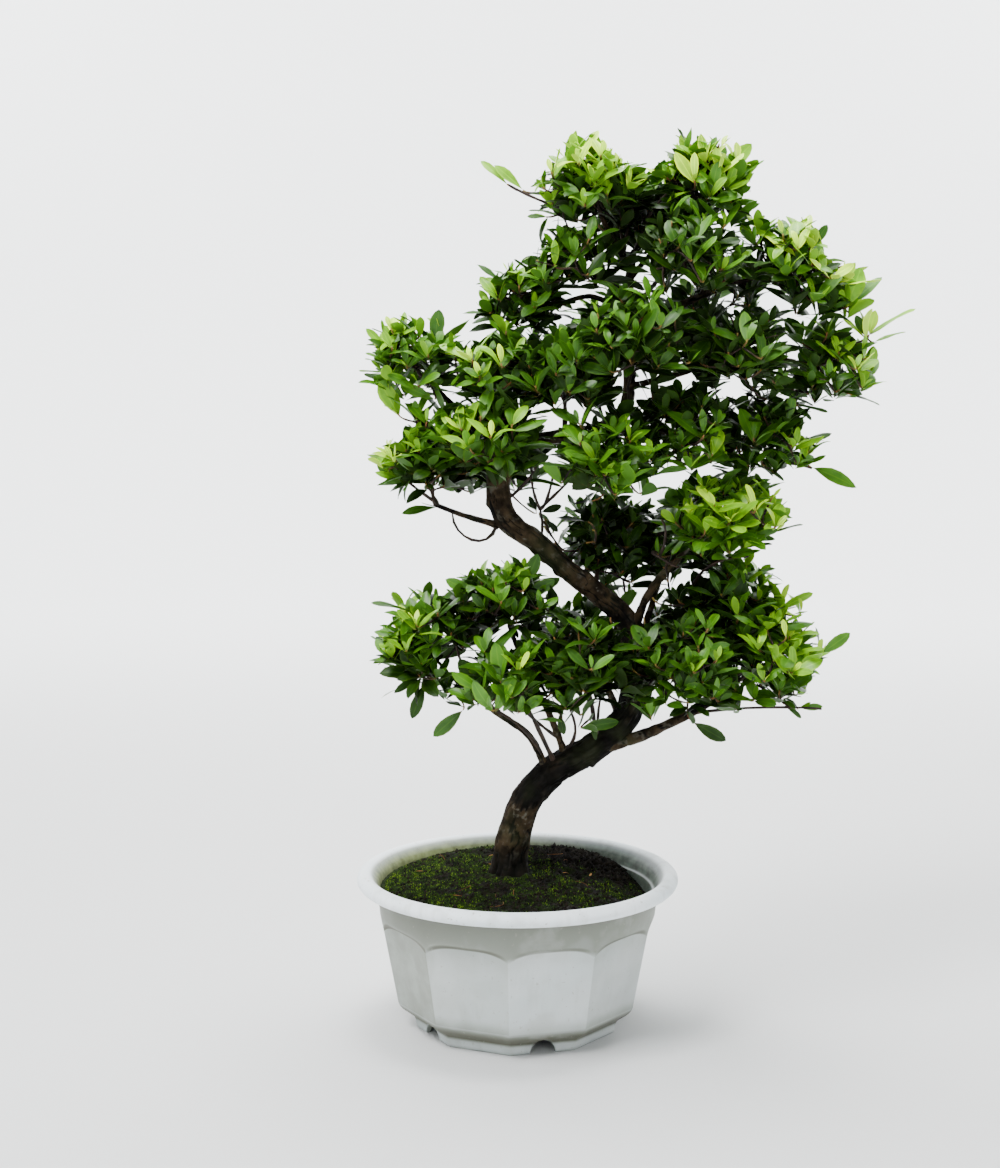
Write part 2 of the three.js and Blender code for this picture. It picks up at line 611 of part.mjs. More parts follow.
// Twigs and leaves of one mass. The twigs' tips lie on a golden-angle spiral over the mass.
// Leaves stand out of a twig's three faces in turn, the nearest to the tip most upright.
function growMass(mass, limbs) {
  const random = randomFrom(mass.seed);
  const others = limbs.filter((limb) => limb !== mass.stem);
  const clearOfLimbs = (p, room) => others.every((limb) => limbDistance(limb, p) > room);
  const twigs = [];
  const leaves = [];

  const addTwig = (a, b, radiusA, radiusB) => {
    const steps = Math.ceil(a.distanceTo(b) / 2);
    for (let i = 2; i <= steps; i++) {
      const p = a.clone().lerp(b, i / steps);
      if (!mass.inCell(p, radiusA) || !clearOfLimbs(p, radiusA + 0.6)) return null;
    }
    const twig = makeTwig(a, b, radiusA, radiusB);
    twigs.push(twig);
    return twig;
  };

  const clearOfTwigs = (p, own) => twigs.every((twig) => {
    if (twig === own) return true;
    rod.set(twig.a, twig.b);
    rod.closestPointToPoint(p, true, closest);
    return closest.distanceTo(p) > twig.radiusA + 1;
  });

  const addLeaf = (twig, root, turn, open, length, freeReach) => {
    const out = twig.u.clone().multiplyScalar(Math.cos(turn)).addScaledVector(twig.v, Math.sin(turn));
    const along = twig.along.clone().multiplyScalar(Math.cos(open)).addScaledVector(out, Math.sin(open));
    const side = new THREE.Vector3().crossVectors(twig.along, out).normalize();
    const c = leafCorners(root, along, side, length);
    const inside = [c.tip, c.left, c.right, c.top, c.bottom].every(
      (p) => mass.inCell(p) && (freeReach || mass.inReach(p)),
    );
    if (!inside || leaves.some((leaf) => leafCuts(leaf, c) || leafCuts(c, leaf))) return false;
    if (!leafSamples(c).every((p) => clearOfLimbs(p, limbMargin) && clearOfTwigs(p, twig))) return false;
    leaves.push(c);
    return true;
  };

  const addWhorl = (twig, count, length, freeReach) => {
    const face = Math.floor(random() * 3);
    for (let j = 0; j < count; j++) {
      const root = twig.b.clone().addScaledVector(twig.along, -leafSpacing * (j + 0.5));
      const turn = Math.PI / 3 + (face + j) * (2 * Math.PI / 3) + radians(24) * (random() - 0.5);
      const open = radians(mix(26, 66, j / (leavesPerTwig - 1)) + 8 * (random() - 0.5));
      const size = length * mix(0.88, 1, random());
      [1, 0.9, 0.8, 0.7, 0.6].some((share) => [0, -14, 14, 28].some((tilt) => [0, 15, -15].some((swing) => (
        addLeaf(twig, root, turn + radians(swing), open + radians(tilt), size * share, freeReach)
      ))));
    }
  };

  const phase = random() * 2 * Math.PI;
  const stations = mass.stem.stations;
  for (let i = 0; i < mass.twigCount; i++) {
    const height = 0.94 - (1.5 * (i + 0.5)) / mass.twigCount;
    const turn = phase + i * goldenAngle;
    const flat = Math.sqrt(1 - height * height);
    const direction = point(flat * Math.cos(turn), flat * Math.sin(turn), height);
    const reach = mass.reachAlong(direction);
    const distance = Math.max(reach * tipInner, reach - leafLength * tipOuter) * mix(0.92, 1.08, random());
    const tip = mass.centre.clone().addScaledVector(direction, distance);
    const share = mix(1, 0.5, ((i * 2) % mass.twigCount) / mass.twigCount);
    const start = mass.stem.curve.getPointAt(share);
    const twig = [1, 0.85, 0.7, 0.55].reduce((done, part) => (
      done || addTwig(start, start.clone().lerp(tip, part), twigRadius, tipRadius)
    ), null);
    if (twig) addWhorl(twig, leavesPerTwig, leafLength, false);
  }
  if (mass.shoot) {
    const target = fromArray(mass.shoot);
    const endLeaf = shootLeaf * leafLength;
    const end = mass.heart.clone().lerp(target, 1 - endLeaf / mass.heart.distanceTo(target));
    const twig = addTwig(mass.heart, end, twigRadius, tipRadius);
    if (twig) {
      const root = end.clone().addScaledVector(twig.along, -leafSpacing / 2);
      addLeaf(twig, root, Math.PI / 3, radians(6), endLeaf + leafSpacing / 2, true);
      addWhorl(twig, 3, endLeaf, true);
    }
  }
  const leafGeometry = (c) => skin([[c.left, c.top, c.right, c.bottom]], c.root, c.tip);
  return [...twigs.map(twigGeometry), ...leaves.map(leafGeometry)];
}

// What is left of a solid when the limbs that it meets are cut out of it with their clearance
function cutClear(solid, limbs) {
  for (const limb of limbs) {
    const grown = toSolid(limbGeometry(limb, clearance));
    if (!solid.intersect(grown).isEmpty()) solid = solid.subtract(grown);
  }
  return mainPiece(toGeometry(solid));
}

function makeMass(mass, limbs) {
  let solid = toSolid(limbGeometry(mass.stem));
  for (const part of growMass(mass, limbs)) solid = solid.add(toSolid(part));
  return cutClear(solid, limbs.filter((limb) => limb !== mass.stem));
}

// Colours and finishes
const finish = (color, roughness) => new THREE.MeshStandardMaterial({ color, roughness, metalness: 0 });
const potPlastic = finish(0xe4e8e9, 0.55);
const mossySoil = finish(0x2c3312, 0.95);
const bark = finish(0x3a2a20, 0.85);
const foliage = finish(0x4f8a1f, 0.5);

// Assembly
const plant = new THREE.Group();
function place(name, geometry, material) {
  const mesh = new THREE.Mesh(geometry, material);
  mesh.name = name;
  plant.add(mesh);
}

place('pot', makePot(), potPlastic);
place('soil', makeSoil(), mossySoil);

const limbs = makeTrunk();
const trunkNames = Object.keys(limbs);
for (const name of trunkNames) {
  const first = name === trunkNames[0];
  const last = name === trunkNames[trunkNames.length - 1];
  const trims = [first ? 0 : clearance / 2, last ? 0 : clearance / 2];
  place(name, limbGeometry(limbs[name], 0, ...trims), bark);
}
for (const [name, [knots, startRadius, endRadius]] of Object.entries(boughs)) {
  const radii = knots.map((_, i) => mix(startRadius, endRadius, i / (knots.length - 1)));
  const bough = makeLimb(name, knots, radii, boughSides, boughStep);
  place(name, cutClear(toSolid(limbGeometry(bough)), Object.values(limbs)), bark);
  limbs[name] = bough;
}

const prepared = prepareMasses(limbs);
const allLimbs = [...Object.values(limbs), ...prepared.map((mass) => mass.stem)];
for (const mass of prepared) place(mass.stem.name, makeMass(mass, allLimbs), foliage);

export default plant;
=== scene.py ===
import math

import bpy
import numpy as np
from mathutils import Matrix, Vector


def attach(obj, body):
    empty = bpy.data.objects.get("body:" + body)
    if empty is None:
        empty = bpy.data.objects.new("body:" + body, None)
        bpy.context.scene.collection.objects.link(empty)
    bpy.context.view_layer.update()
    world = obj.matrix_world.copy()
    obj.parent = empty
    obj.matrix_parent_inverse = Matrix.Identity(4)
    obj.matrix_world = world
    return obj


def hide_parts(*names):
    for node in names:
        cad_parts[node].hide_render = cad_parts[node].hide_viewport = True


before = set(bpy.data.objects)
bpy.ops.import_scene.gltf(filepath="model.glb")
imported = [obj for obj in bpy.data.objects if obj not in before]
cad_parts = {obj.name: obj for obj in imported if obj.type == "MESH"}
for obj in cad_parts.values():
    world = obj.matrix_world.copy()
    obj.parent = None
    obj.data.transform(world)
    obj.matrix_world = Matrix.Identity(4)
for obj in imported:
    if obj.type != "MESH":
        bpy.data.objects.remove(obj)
nodeNames = sorted(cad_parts)
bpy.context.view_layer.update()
print("frame loaded, nodes:", len(nodeNames))

mm = 0.001  # shapes are worked out in millimetres, as the CAD is, and made in metres
goldenAngle = math.pi * (3 - math.sqrt(5))


# The CAD's own seeded numbers between 0 and 1
def seededRandom(seed):
    state = seed & 0xFFFFFFFF

    def nextNumber():
        nonlocal state
        state = (state + 0x6D2B79F5) & 0xFFFFFFFF
        t = ((state ^ (state >> 15)) * (1 | state)) & 0xFFFFFFFF
        t = ((t + (((t ^ (t >> 7)) * (61 | t)) & 0xFFFFFFFF)) ^ t) & 0xFFFFFFFF
        return ((t ^ (t >> 14)) & 0xFFFFFFFF) / 4294967296

    return nextNumber


def mix(a, b, t):
    return a + (b - a) * t


def unit(vectors):
    return vectors / np.linalg.norm(vectors, axis=-1, keepdims=True)


def smoothStep(low, high, values):
    t = np.clip((values - low) / (high - low), 0, 1)
    return t * t * (3 - 2 * t)


# Smooth noise from -1 to 1: a hashed value at each whole-number corner of the cell
# round a point, blended along each axis by f = 6t^5 - 15t^4 + 10t^3
def valueNoise(points, seed):
    base = np.floor(points).astype(np.int64)
    part = points - base
    blend = part ** 3 * (part * (part * 6 - 15) + 10)
    total = np.zeros(points.shape[:-1])
    for corner in range(8):
        offset = np.array([corner & 1, corner >> 1 & 1, corner >> 2 & 1])
        cell = base + offset
        h = cell[..., 0] * 374761393 + cell[..., 1] * 668265263 + cell[..., 2] * 1440662683
        h = (h + seed * 1274126177) & 0xFFFFFFFF
        h = ((h ^ (h >> 13)) * 1274126177) & 0xFFFFFFFF
        h = ((h ^ (h >> 15)) * 668265263) & 0xFFFFFFFF
        value = ((h ^ (h >> 16)) & 0xFFFF) / 32767.5 - 1
        total += value * np.prod(np.where(offset, blend, 1 - blend), axis=-1)
    return total


# The sum of noise(2^k p) / 2^k over a few layers k
def layeredNoise(points, seed, layers=3):
    return sum(valueNoise(points * 2 ** k, seed + k) / 2 ** k for k in range(layers))


# Centripetal Catmull-Rom curve. Each gap k is distance^0.5. In the span from b to c,
# with a before it and d after it, the end slopes are ((b-a)/ka - (c-a)/(ka+kb) + (c-b)/kb) kb
# and ((c-b)/kb - (d-b)/(kb+kc) + (d-c)/kc) kb. A fourth column, the radius, runs straight
# from knot to knot.
def throughKnots(knots, perSpan=24):
    rows = np.asarray(knots, float)
    xyz = rows[:, :3]
    chain = np.vstack([2 * xyz[0] - xyz[1], xyz, 2 * xyz[-1] - xyz[-2]])
    gap = np.linalg.norm(np.diff(chain, axis=0), axis=1)[:, None] ** 0.5
    a, b, c, d = chain[:-3], chain[1:-2], chain[2:-1], chain[3:]
    ka, kb, kc = gap[:-2], gap[1:-1], gap[2:]
    first = ((b - a) / ka - (c - a) / (ka + kb) + (c - b) / kb) * kb
    last = ((c - b) / kb - (d - b) / (kb + kc) + (d - c) / kc) * kb
    t = np.linspace(0, 1, perSpan, endpoint=False)[None, :, None]
    curve = ((2 * t ** 3 - 3 * t ** 2 + 1) * b[:, None] + (t ** 3 - 2 * t ** 2 + t) * first[:, None]
             + (3 * t ** 2 - 2 * t ** 3) * c[:, None] + (t ** 3 - t ** 2) * last[:, None])
    curve = np.vstack([curve.reshape(-1, 3), xyz[-1]])
    place = np.linspace(0, len(rows) - 1, len(curve))
    radius = np.interp(place, np.arange(len(rows)), rows[:, 3])
    return np.column_stack([curve, radius])


# The same curve with its points at even distances, and the distance of each
def evenly(curve, step):
    steps = np.linalg.norm(np.diff(curve[:, :3], axis=0), axis=1)
    length = np.concatenate([[0], np.cumsum(steps)])
    along = np.linspace(0, length[-1], max(4, int(round(length[-1] / step))) + 1)
    return np.column_stack([np.interp(along, length, column) for column in curve.T]), along


# Tangents, and two cross axes that turn as little as the path allows
def framesAlong(path):
    tangents = unit(np.gradient(path, axis=0))
    axis = np.cross(tangents[0], [0.0, 1.0, 0.0])
    if np.linalg.norm(axis) < 0.3:
        axis = np.cross(tangents[0], [0.0, 0.0, 1.0])
    normals = np.empty_like(tangents)
    for i, tangent in enumerate(tangents):
        axis = unit(axis - tangent * np.dot(axis, tangent))
        normals[i] = axis
    return tangents, normals, np.cross(tangents, normals)


# p(s, a) = c(s) + r(s) (n(s) cos a + b(s) sin a), and the outward directions
def sweep(path, radii, columns):
    tangents, normals, binormals = framesAlong(path)
    angle = np.linspace(0, 2 * math.pi, columns, endpoint=False)[None, :, None]
    outward = normals[:, None] * np.cos(angle) + binormals[:, None] * np.sin(angle)
    return path[:, None] + outward * radii[:, None, None], outward


# Quads between neighbouring rings of a grid that is closed round its columns
def ringFaces(rows, columns):
    i, j = np.meshgrid(np.arange(rows - 1), np.arange(columns), indexing="ij")
    a, b = i * columns + j, i * columns + (j + 1) % columns
    return np.stack([a, b, b + columns, a + columns], axis=-1).reshape(-1, 4)


# A grid of rings with a pole at each end, as one closed part
def closedGrid(grid, start, end):
    rows, columns = grid.shape[:2]
    first, last = rows * columns, rows * columns + 1
    j = np.arange(columns)
    k = (j + 1) % columns
    foot = np.stack([np.full(columns, first), k, j], axis=-1)
    top = (rows - 1) * columns
    head = np.stack([top + j, top + k, np.full(columns, last)], axis=-1)
    return {
        "points": np.vstack([grid.reshape(-1, 3), start, end]),
        "quads": ringFaces(rows, columns),
        "tris": np.vstack([foot, head]),
    }


# Several parts as one, with their points and any values at the points in one list
def joined(parts):
    sizes = np.cumsum([0] + [len(part["points"]) for part in parts])
    whole = {"points": np.vstack([part["points"] for part in parts])}
    for key in ("quads", "tris"):
        whole[key] = np.vstack([part[key] + sizes[i] for i, part in enumerate(parts)])
    for key in parts[0]:
        if key not in whole:
            whole[key] = np.concatenate([part[key] for part in parts])
    return whole


# One mesh object from arrays in millimetres, riding on the plant's only body, with further values
# at its points as attributes, and sharp edges where a function of their ends says so
def addPiece(name, part, material, replaced=(), sharp=None):
    mesh = bpy.data.meshes.new(name)
    points, quads, tris = part["points"], part["quads"], part["tris"]
    mesh.vertices.add(len(points))
    mesh.vertices.foreach_set("co", (points * mm).astype(np.float32).ravel())
    corners = np.concatenate([tris.ravel(), quads.ravel()]).astype(np.int32)
    mesh.loops.add(len(corners))
    mesh.loops.foreach_set("vertex_index", corners)
    mesh.polygons.add(len(tris) + len(quads))
    starts = np.concatenate([3 * np.arange(len(tris)), 3 * len(tris) + 4 * np.arange(len(quads))])
    mesh.polygons.foreach_set("loop_start", starts.astype(np.int32))
    mesh.update(calc_edges=True)
    mesh.validate()
    for key, values in part.items():
        if key not in ("points", "quads", "tris"):
            attribute = mesh.attributes.new(key, "FLOAT", "POINT")
            attribute.data.foreach_set("value", values.astype(np.float32))
    mesh.polygons.foreach_set("use_smooth", np.ones(len(mesh.polygons), bool))
    if sharp is not None:
        ends = np.empty(2 * len(mesh.edges), np.int32)
        mesh.edges.foreach_get("vertices", ends)
        marks = mesh.attributes.new("sharp_edge", "BOOLEAN", "EDGE")
        marks.data.foreach_set("value", sharp(ends.reshape(-1, 2)))
    mesh.materials.append(material)
    piece = bpy.data.objects.new(name, mesh)
    bpy.context.scene.collection.objects.link(piece)
    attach(piece, "root")
    if len(replaced):
        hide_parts(*replaced)
    print("made", name, "triangles:", len(tris) + 2 * len(quads))


# A shader node with its settings, its inputs linked to a socket or set to a value
def addNode(tree, kind, settings=None, inputs=None):
    made = tree.nodes.new(kind)
    for key, value in (settings or {}).items():
        setattr(made, key, value)
    for key, value in (inputs or {}).items():
        if isinstance(value, bpy.types.NodeSocket):
            tree.links.new(value, made.inputs[key])
        else:
            made.inputs[key].default_value = value
    return made


def mixColours(tree, factor, first, second):
    return addNode(tree, "ShaderNodeMix", {"data_type": "RGBA"},
                   {0: factor, 6: first, 7: second}).outputs[2]


def mixValues(tree, factor, first, second):
    return addNode(tree, "ShaderNodeMix", {"data_type": "FLOAT"},
                   {0: factor, 2: first, 3: second}).outputs[0]


def times(tree, first, second):
    return addNode(tree, "ShaderNodeMath", {"operation": "MULTIPLY"}, {0: first, 1: second}).outputs[0]


# How far a value is on its way from start to end, as a number from low to high: in a straight
# line, or with soft ends
def ranged(tree, value, start, end, low=0.0, high=1.0, way="LINEAR"):
    return addNode(tree, "ShaderNodeMapRange", {"interpolation_type": way}, {
        "Value": value, "From Min": start, "From Max": end,
        "To Min": low, "To Max": high}).outputs["Result"]


def softRanged(tree, value, start, end, low=0.0, high=1.0):
    return ranged(tree, value, start, end, low, high, "SMOOTHSTEP")


def attributeValue(tree, name):
    return addNode(tree, "ShaderNodeAttribute", {"attribute_name": name}).outputs["Fac"]


def objectPlace(tree):
    return addNode(tree, "ShaderNodeTexCoord").outputs["Object"]


# A node group with the sockets given, and its two ends
def emptyGroup(name, inputs, outputs):
    group = bpy.data.node_groups.new(name, "ShaderNodeTree")
    for label, kind, value in inputs:
        made = group.interface.new_socket(name=label, in_out="INPUT", socket_type=kind)
        if value is not None:
            made.default_value = value
    for label, kind in outputs:
        group.interface.new_socket(name=label, in_out="OUTPUT", socket_type=kind)
    return group, group.nodes.new("NodeGroupInput"), group.nodes.new("NodeGroupOutput")


# Soft-edged patches of noise, 1 inside them and 0 outside, and the noise itself
def makePatchGroup():
    group, given, result = emptyGroup(
        "patches",
        [("Place", "NodeSocketVector", None), ("Scale", "NodeSocketFloat", 50.0),
         ("Detail", "NodeSocketFloat", 4.0), ("Level", "NodeSocketFloat", 0.5),
         ("Softness", "NodeSocketFloat", 0.1)],
        [("Mask", "NodeSocketFloat"), ("Grain", "NodeSocketFloat")])
    noise = addNode(group, "ShaderNodeTexNoise", None, {
        "Vector": given.outputs["Place"], "Scale": given.outputs["Scale"],
        "Detail": given.outputs["Detail"]})
    low = addNode(group, "ShaderNodeMath", {"operation": "SUBTRACT"}, {
        0: given.outputs["Level"], 1: given.outputs["Softness"]})
    high = addNode(group, "ShaderNodeMath", {"operation": "ADD"}, {
        0: given.outputs["Level"], 1: given.outputs["Softness"]})
    step = addNode(group, "ShaderNodeMapRange", {"interpolation_type": "SMOOTHSTEP"}, {
        "Value": noise.outputs["Fac"], "From Min": low.outputs[0], "From Max": high.outputs[0]})
    group.links.new(step.outputs["Result"], result.inputs["Mask"])
    group.links.new(noise.outputs["Fac"], result.inputs["Grain"])
    return group


patchGroup = makePatchGroup()


def patches(tree, place, scale, detail, level, softness):
    made = addNode(tree, "ShaderNodeGroup", {"node_tree": patchGroup}, {
        "Place": place, "Scale": scale, "Detail": detail, "Level": level, "Softness": softness})
    return made.outputs["Mask"], made.outputs["Grain"]


# A colour with patches of a stain on it: how the patches lie, how strong the stain is in their
# middle, and its own colour
def stained(tree, colour, place, patch, strength, overlay):
    mask, _ = patches(tree, place, *patch)
    return mixColours(tree, times(tree, mask, strength), colour, (*overlay, 1))


# A material with one Principled shader, whose plain sockets are set from the values given
def newMaterial(name, shader):
    material = bpy.data.materials.new(name)
    material.use_nodes = True
    tree = material.node_tree
    tree.nodes.clear()
    surface = addNode(tree, "ShaderNodeBsdfPrincipled", None, shader)
    output = addNode(tree, "ShaderNodeOutputMaterial")
    tree.links.new(surface.outputs[0], output.inputs["Surface"])
    return material, tree, surface


def connect(tree, value, surface, name):
    tree.links.new(value, surface.inputs[name])


def addBump(tree, height, surface, strength, distance):
    bump = addNode(tree, "ShaderNodeBump", None, {
        "Strength": strength, "Distance": distance, "Height": height})
    connect(tree, bump.outputs["Normal"], surface, "Normal")


pot = {
    "rimRadius": 100, "rimTop": 96.5, "rimDrop": 9, "facets": 10, "turn": math.radians(-4.15),
    "footRadius": 64.3, "bodyFoot": 76.2, "panelFoot": 17, "bodyTop": 85.3, "panelTop": 64.6,
    "archRise": 5.4, "collar": 87.6, "wall": 2.8, "floorUnder": 9, "floorTop": 12,
    "centreFoot": 18, "notchRadius": 8.4,
    "columns": 720, "panelRows": 30, "archRows": 11, "collarRows": 8, "rimRows": 30,
    "archPower": 3.6,  # more is flatter, with tighter ends
    "archSoft": [2.0, 1.5],  # the step at a panel's top, below and above its arch
    "edgeSoftness": 520,  # the power that rounds the upright edges: less is rounder
    "rimRoll": [5.2, 4.4],  # half the rolled rim's width and height
    "rimTurn": 1.38,  # how far the roll goes round, in half turns
    # rows on the outside of the foot ring and in the cove over it: height, how far they stand
    # out from the foot's radius, and grime with painted shade, deepest in the cove under the body
    "footRing": [[0.7, 0, 0.70], [2.5, 0.4, 0.58], [5.0, 0.8, 0.68]],
    "cove": [[6.2, 1.3, 1.02], [7.3, 1.8, 1.30], [8.7, 3.4, 1.30], [10.2, 5.7, 1.30], [11.8, 7.9, 1.28],
             [13.2, 9.5, 1.22], [14.6, 10.7, 1.12], [15.8, 11.4, 0.96], [16.8, 11.8, 0.80]],
    "coveRise": 0.3,  # how much of a cove row's own height it keeps over a notch
    # rows down the inside, past the step that the soil covers: height, radius, how far inside
    "lining": [[93.2, 89.6, 0.8], [92, 88.6, 0.9], [90.5, 87.5, 1], [89, 86.8, 1], [87.6, 86.3, 1],
               [86, 85.9, 1], [85.4, 85.6, 1], [85, 84.9, 0.8], [84.9, 84.2, 0.8], [84.2, 83.9, 1],
               [82, 83.6, 1], [79, 83.2, 1]],
    # grime and painted shade on all panels, and painted shade on those at the left, next to the left
    # and at the right, turned from the light, by the sines of their angles where it starts and is full
    "bodyGrimeAndShade": 0.46, "sideShades": [[0.52, -0.55, -0.80], [0.20, 0, -0.3], [0.28, 0.6, 0.85]],
    "panelGrimeAndShade": [0.12, 0.28],  # more grime and painted shade at a panel's top, under its arch, and at its foot, over the cove
    # grime and painted shade up to the arches and painted shadow in their recesses; grime and painted shade
    # on the collar; painted shade at its left; and the most there is
    "archGrimeAndShade": [1.03, 0.42], "collarGrimeAndShade": [1.03, 1.17], "leftShade": 0.06, "mostGrimeAndShade": 1.3,
}
facetAngle = 2 * math.pi / pot["facets"]


# Angle from the middle of the nearest panel, as a share of half a panel
def potShares(angle):
    turned = (angle - pot["turn"]) / facetAngle
    return 2 * (turned - np.floor(turned)) - 1


# A flat panel's radius, corner cos(h) / cos(h s), where h is half a panel's angle, with
# its edges rounded by r = d (sum of cos^p towards the panel and its neighbours)^(-1/p)
def flatRadius(corner, share):
    half = facetAngle / 2
    p = pot["edgeSoftness"]
    total = sum(np.maximum(np.cos(share * half + k * facetAngle), 0.0) ** p for k in (-1, 0, 1))
    return corner * math.cos(half) * total ** (-1 / p)


# The body's corner radius, in a straight line from the foot of the panels to their top
def cornerAt(z):
    share = (z - pot["panelFoot"]) / (pot["panelTop"] - pot["panelFoot"])
    return mix(pot["bodyFoot"], pot["bodyTop"], share)


# The height of a panel's arch: top + rise (1 - |s|^p)
def archAt(share):
    return pot["panelTop"] + pot["archRise"] * (1 - np.abs(share) ** pot["archPower"])


# The round collar's radius, in a straight line from the panels' top to the rim
def roundAt(z):
    top = pot["rimTop"] - pot["rimDrop"]
    return mix(pot["bodyTop"], pot["collar"], (z - pot["panelTop"]) / (top - pot["panelTop"]))


# Height of the arched notches in the foot ring, one to two panels: the circle's
# z = (r^2 - x^2)^0.5
def notchAt(angle):
    spread = (angle - pot["turn"] - facetAngle / 2) / (2 * facetAngle)
    x = (spread - np.round(spread)) * 2 * facetAngle * pot["footRadius"]
    return np.sqrt(np.maximum(pot["notchRadius"] ** 2 - x ** 2, 0.0))


# Rows of height z(a) and radius r(a) round the axis: p = (r sin a, -r cos a, z), from the middle of
# the underside out, up the outside, round the rim and down the inside. Each row says how far it lies
# inside the pot, and how much grime and painted shade it holds: most under the rim, in the recesses along
# the arches and in the cove, where shade is painted, and painted shade too on the panels turned from the
# light.
def makePot():
    angle = np.linspace(0, 2 * math.pi, pot["columns"], endpoint=False)
    share = potShares(angle)
    notch = notchAt(angle)
    even = np.ones_like(angle)
    rows, inner, grimeAndShade = [], [], []

    def addRow(z, radius, inside=0.0, darkening=0.0):
        rows.append((z * even, radius * even))
        inner.append(inside)
        grimeAndShade.append(np.clip(darkening * even, 0, pot["mostGrimeAndShade"]))

    foot, wall, collar, centre = pot["footRadius"], pot["wall"], pot["collar"], pot["centreFoot"]
    under, rimTop = pot["floorUnder"], pot["rimTop"]
    recess = 1 - np.abs(share) ** 6
    middle = (np.floor((angle - pot["turn"]) / facetAngle) + 0.5) * facetAngle + pot["turn"]
    # grime and painted shade on all panels, and more painted shade on the panels turned from the light
    overlay = pot["bodyGrimeAndShade"]
    for most, start, full in pot["sideShades"]:
        overlay = overlay + most * smoothStep(start, full, np.sin(middle))
    # the underside and the notches, all in painted shade
    for z, radius in ((0, 2), (0, centre - 0.6), (0.5, centre), (under - 0.6, centre + 0.8),
                      (under, centre + 1.6), (under, flatRadius(foot - 5.2, share)),
                      (np.maximum(under - 0.8, notch), flatRadius(foot - 4.3, share)),
                      (np.maximum(0.6, notch), flatRadius(foot - 3.5, share)),
                      (notch, flatRadius(foot - 3, share)), (notch, flatRadius(foot - 0.7, share))):
        addRow(z, radius, 0, 1)
    for z, out, darkening in pot["footRing"]:
        addRow(np.maximum(z, notch), flatRadius(foot + out, share), 0, darkening)
    ringTop = pot["footRing"][-1][0]
    # the cove, with painted shade under the body's rounded foot
    for z, out, darkening in pot["cove"]:
        addRow(np.maximum(z, notch + pot["coveRise"] * (z - ringTop)), flatRadius(foot + out, share), 0, darkening)
    below, above = pot["archSoft"]
    topGrimeAndShade, footGrimeAndShade = pot["panelGrimeAndShade"]
    for t in np.arange(pot["panelRows"] + 1) / pot["panelRows"]:
        z = mix(pot["panelFoot"], archAt(share) - below, t)
        # more grime and painted shade near the arch at the panel's top and over the cove at its foot
        darkening = overlay + topGrimeAndShade * smoothStep(0.62, 1, t) ** 2 + footGrimeAndShade * smoothStep(0.16, 0, t)
        addRow(z, flatRadius(cornerAt(z), share), 0, np.minimum(darkening, 1))
    archGrimeAndShade, recessGrimeAndShadow = pot["archGrimeAndShade"]
    for t in np.arange(1, pot["archRows"] + 1) / pot["archRows"]:
        z = mix(archAt(share) - below, archAt(share) + above, t)
        # painted shadow with grime in the recess where the panel meets the collar, deepest in a panel's
        # middle
        darkening = mix(overlay + topGrimeAndShade, archGrimeAndShade, t) + recess * recessGrimeAndShadow * math.sin(math.pi * t ** 0.7)
        addRow(z, mix(flatRadius(cornerAt(z), share), roundAt(z), smoothStep(0, 1, t)), 0, darkening)
    # painted shade on the collar's left side
    left = pot["leftShade"] * smoothStep(-0.2, -0.8, np.sin(angle))
    # the collar, with grime and painted shade that grow towards the rim's overhang
    for t in np.arange(1, pot["collarRows"] + 1) / pot["collarRows"]:
        z = mix(archAt(share) + above, rimTop - pot["rimDrop"] - 0.6, t)
        addRow(z, roundAt(z), 0, mix(*pot["collarGrimeAndShade"], t ** 1.4) + left)
    # painted shade right under the rim
    addRow(rimTop - pot["rimDrop"], collar + 0.4, 0, 1)
    addRow(rimTop - pot["rimDrop"] + 0.2, collar + 1.4, 0, 1)
    wide, high = pot["rimRoll"]
    # the rolled rim, with painted shade on its underside
    for t in np.arange(pot["rimRows"] + 1) / pot["rimRows"]:
        turn = (t * pot["rimTurn"] - 0.5) * math.pi
        addRow(rimTop - high + high * math.sin(turn), pot["rimRadius"] - wide + wide * math.cos(turn),
               0.7 * smoothStep(0.80, 1, t), 0.8 * smoothStep(0.16, 0.0, t))
    for z, radius, inside in pot["lining"]:
        addRow(z, radius, inside)
    addRow(archAt(share) + 3, roundAt(archAt(share) + 3) - wall, 1.0)
    addRow(archAt(share) - 1, flatRadius(cornerAt(archAt(share) - 1) - wall, share), 1.0)
    addRow(pot["panelFoot"], flatRadius(pot["bodyFoot"] - wall, share), 1.0)
    addRow(pot["floorTop"], flatRadius(foot + 3, share), 1.0)
    addRow(pot["floorTop"], 2, 1.0)
    z = np.array([row[0] for row in rows])
    radius = np.array([row[1] for row in rows])
    grid = np.stack([radius * np.sin(angle), -radius * np.cos(angle), z], axis=-1)
    part = closedGrid(grid, [0, 0, 0], [0, 0, pot["floorTop"]])
    part["inside"] = np.concatenate([np.repeat(inner, pot["columns"]), [0.0, 1.0]])
    part["grimeAndShade"] = np.concatenate([np.array(grimeAndShade).ravel(), [1.0, 1.0]])
    return part


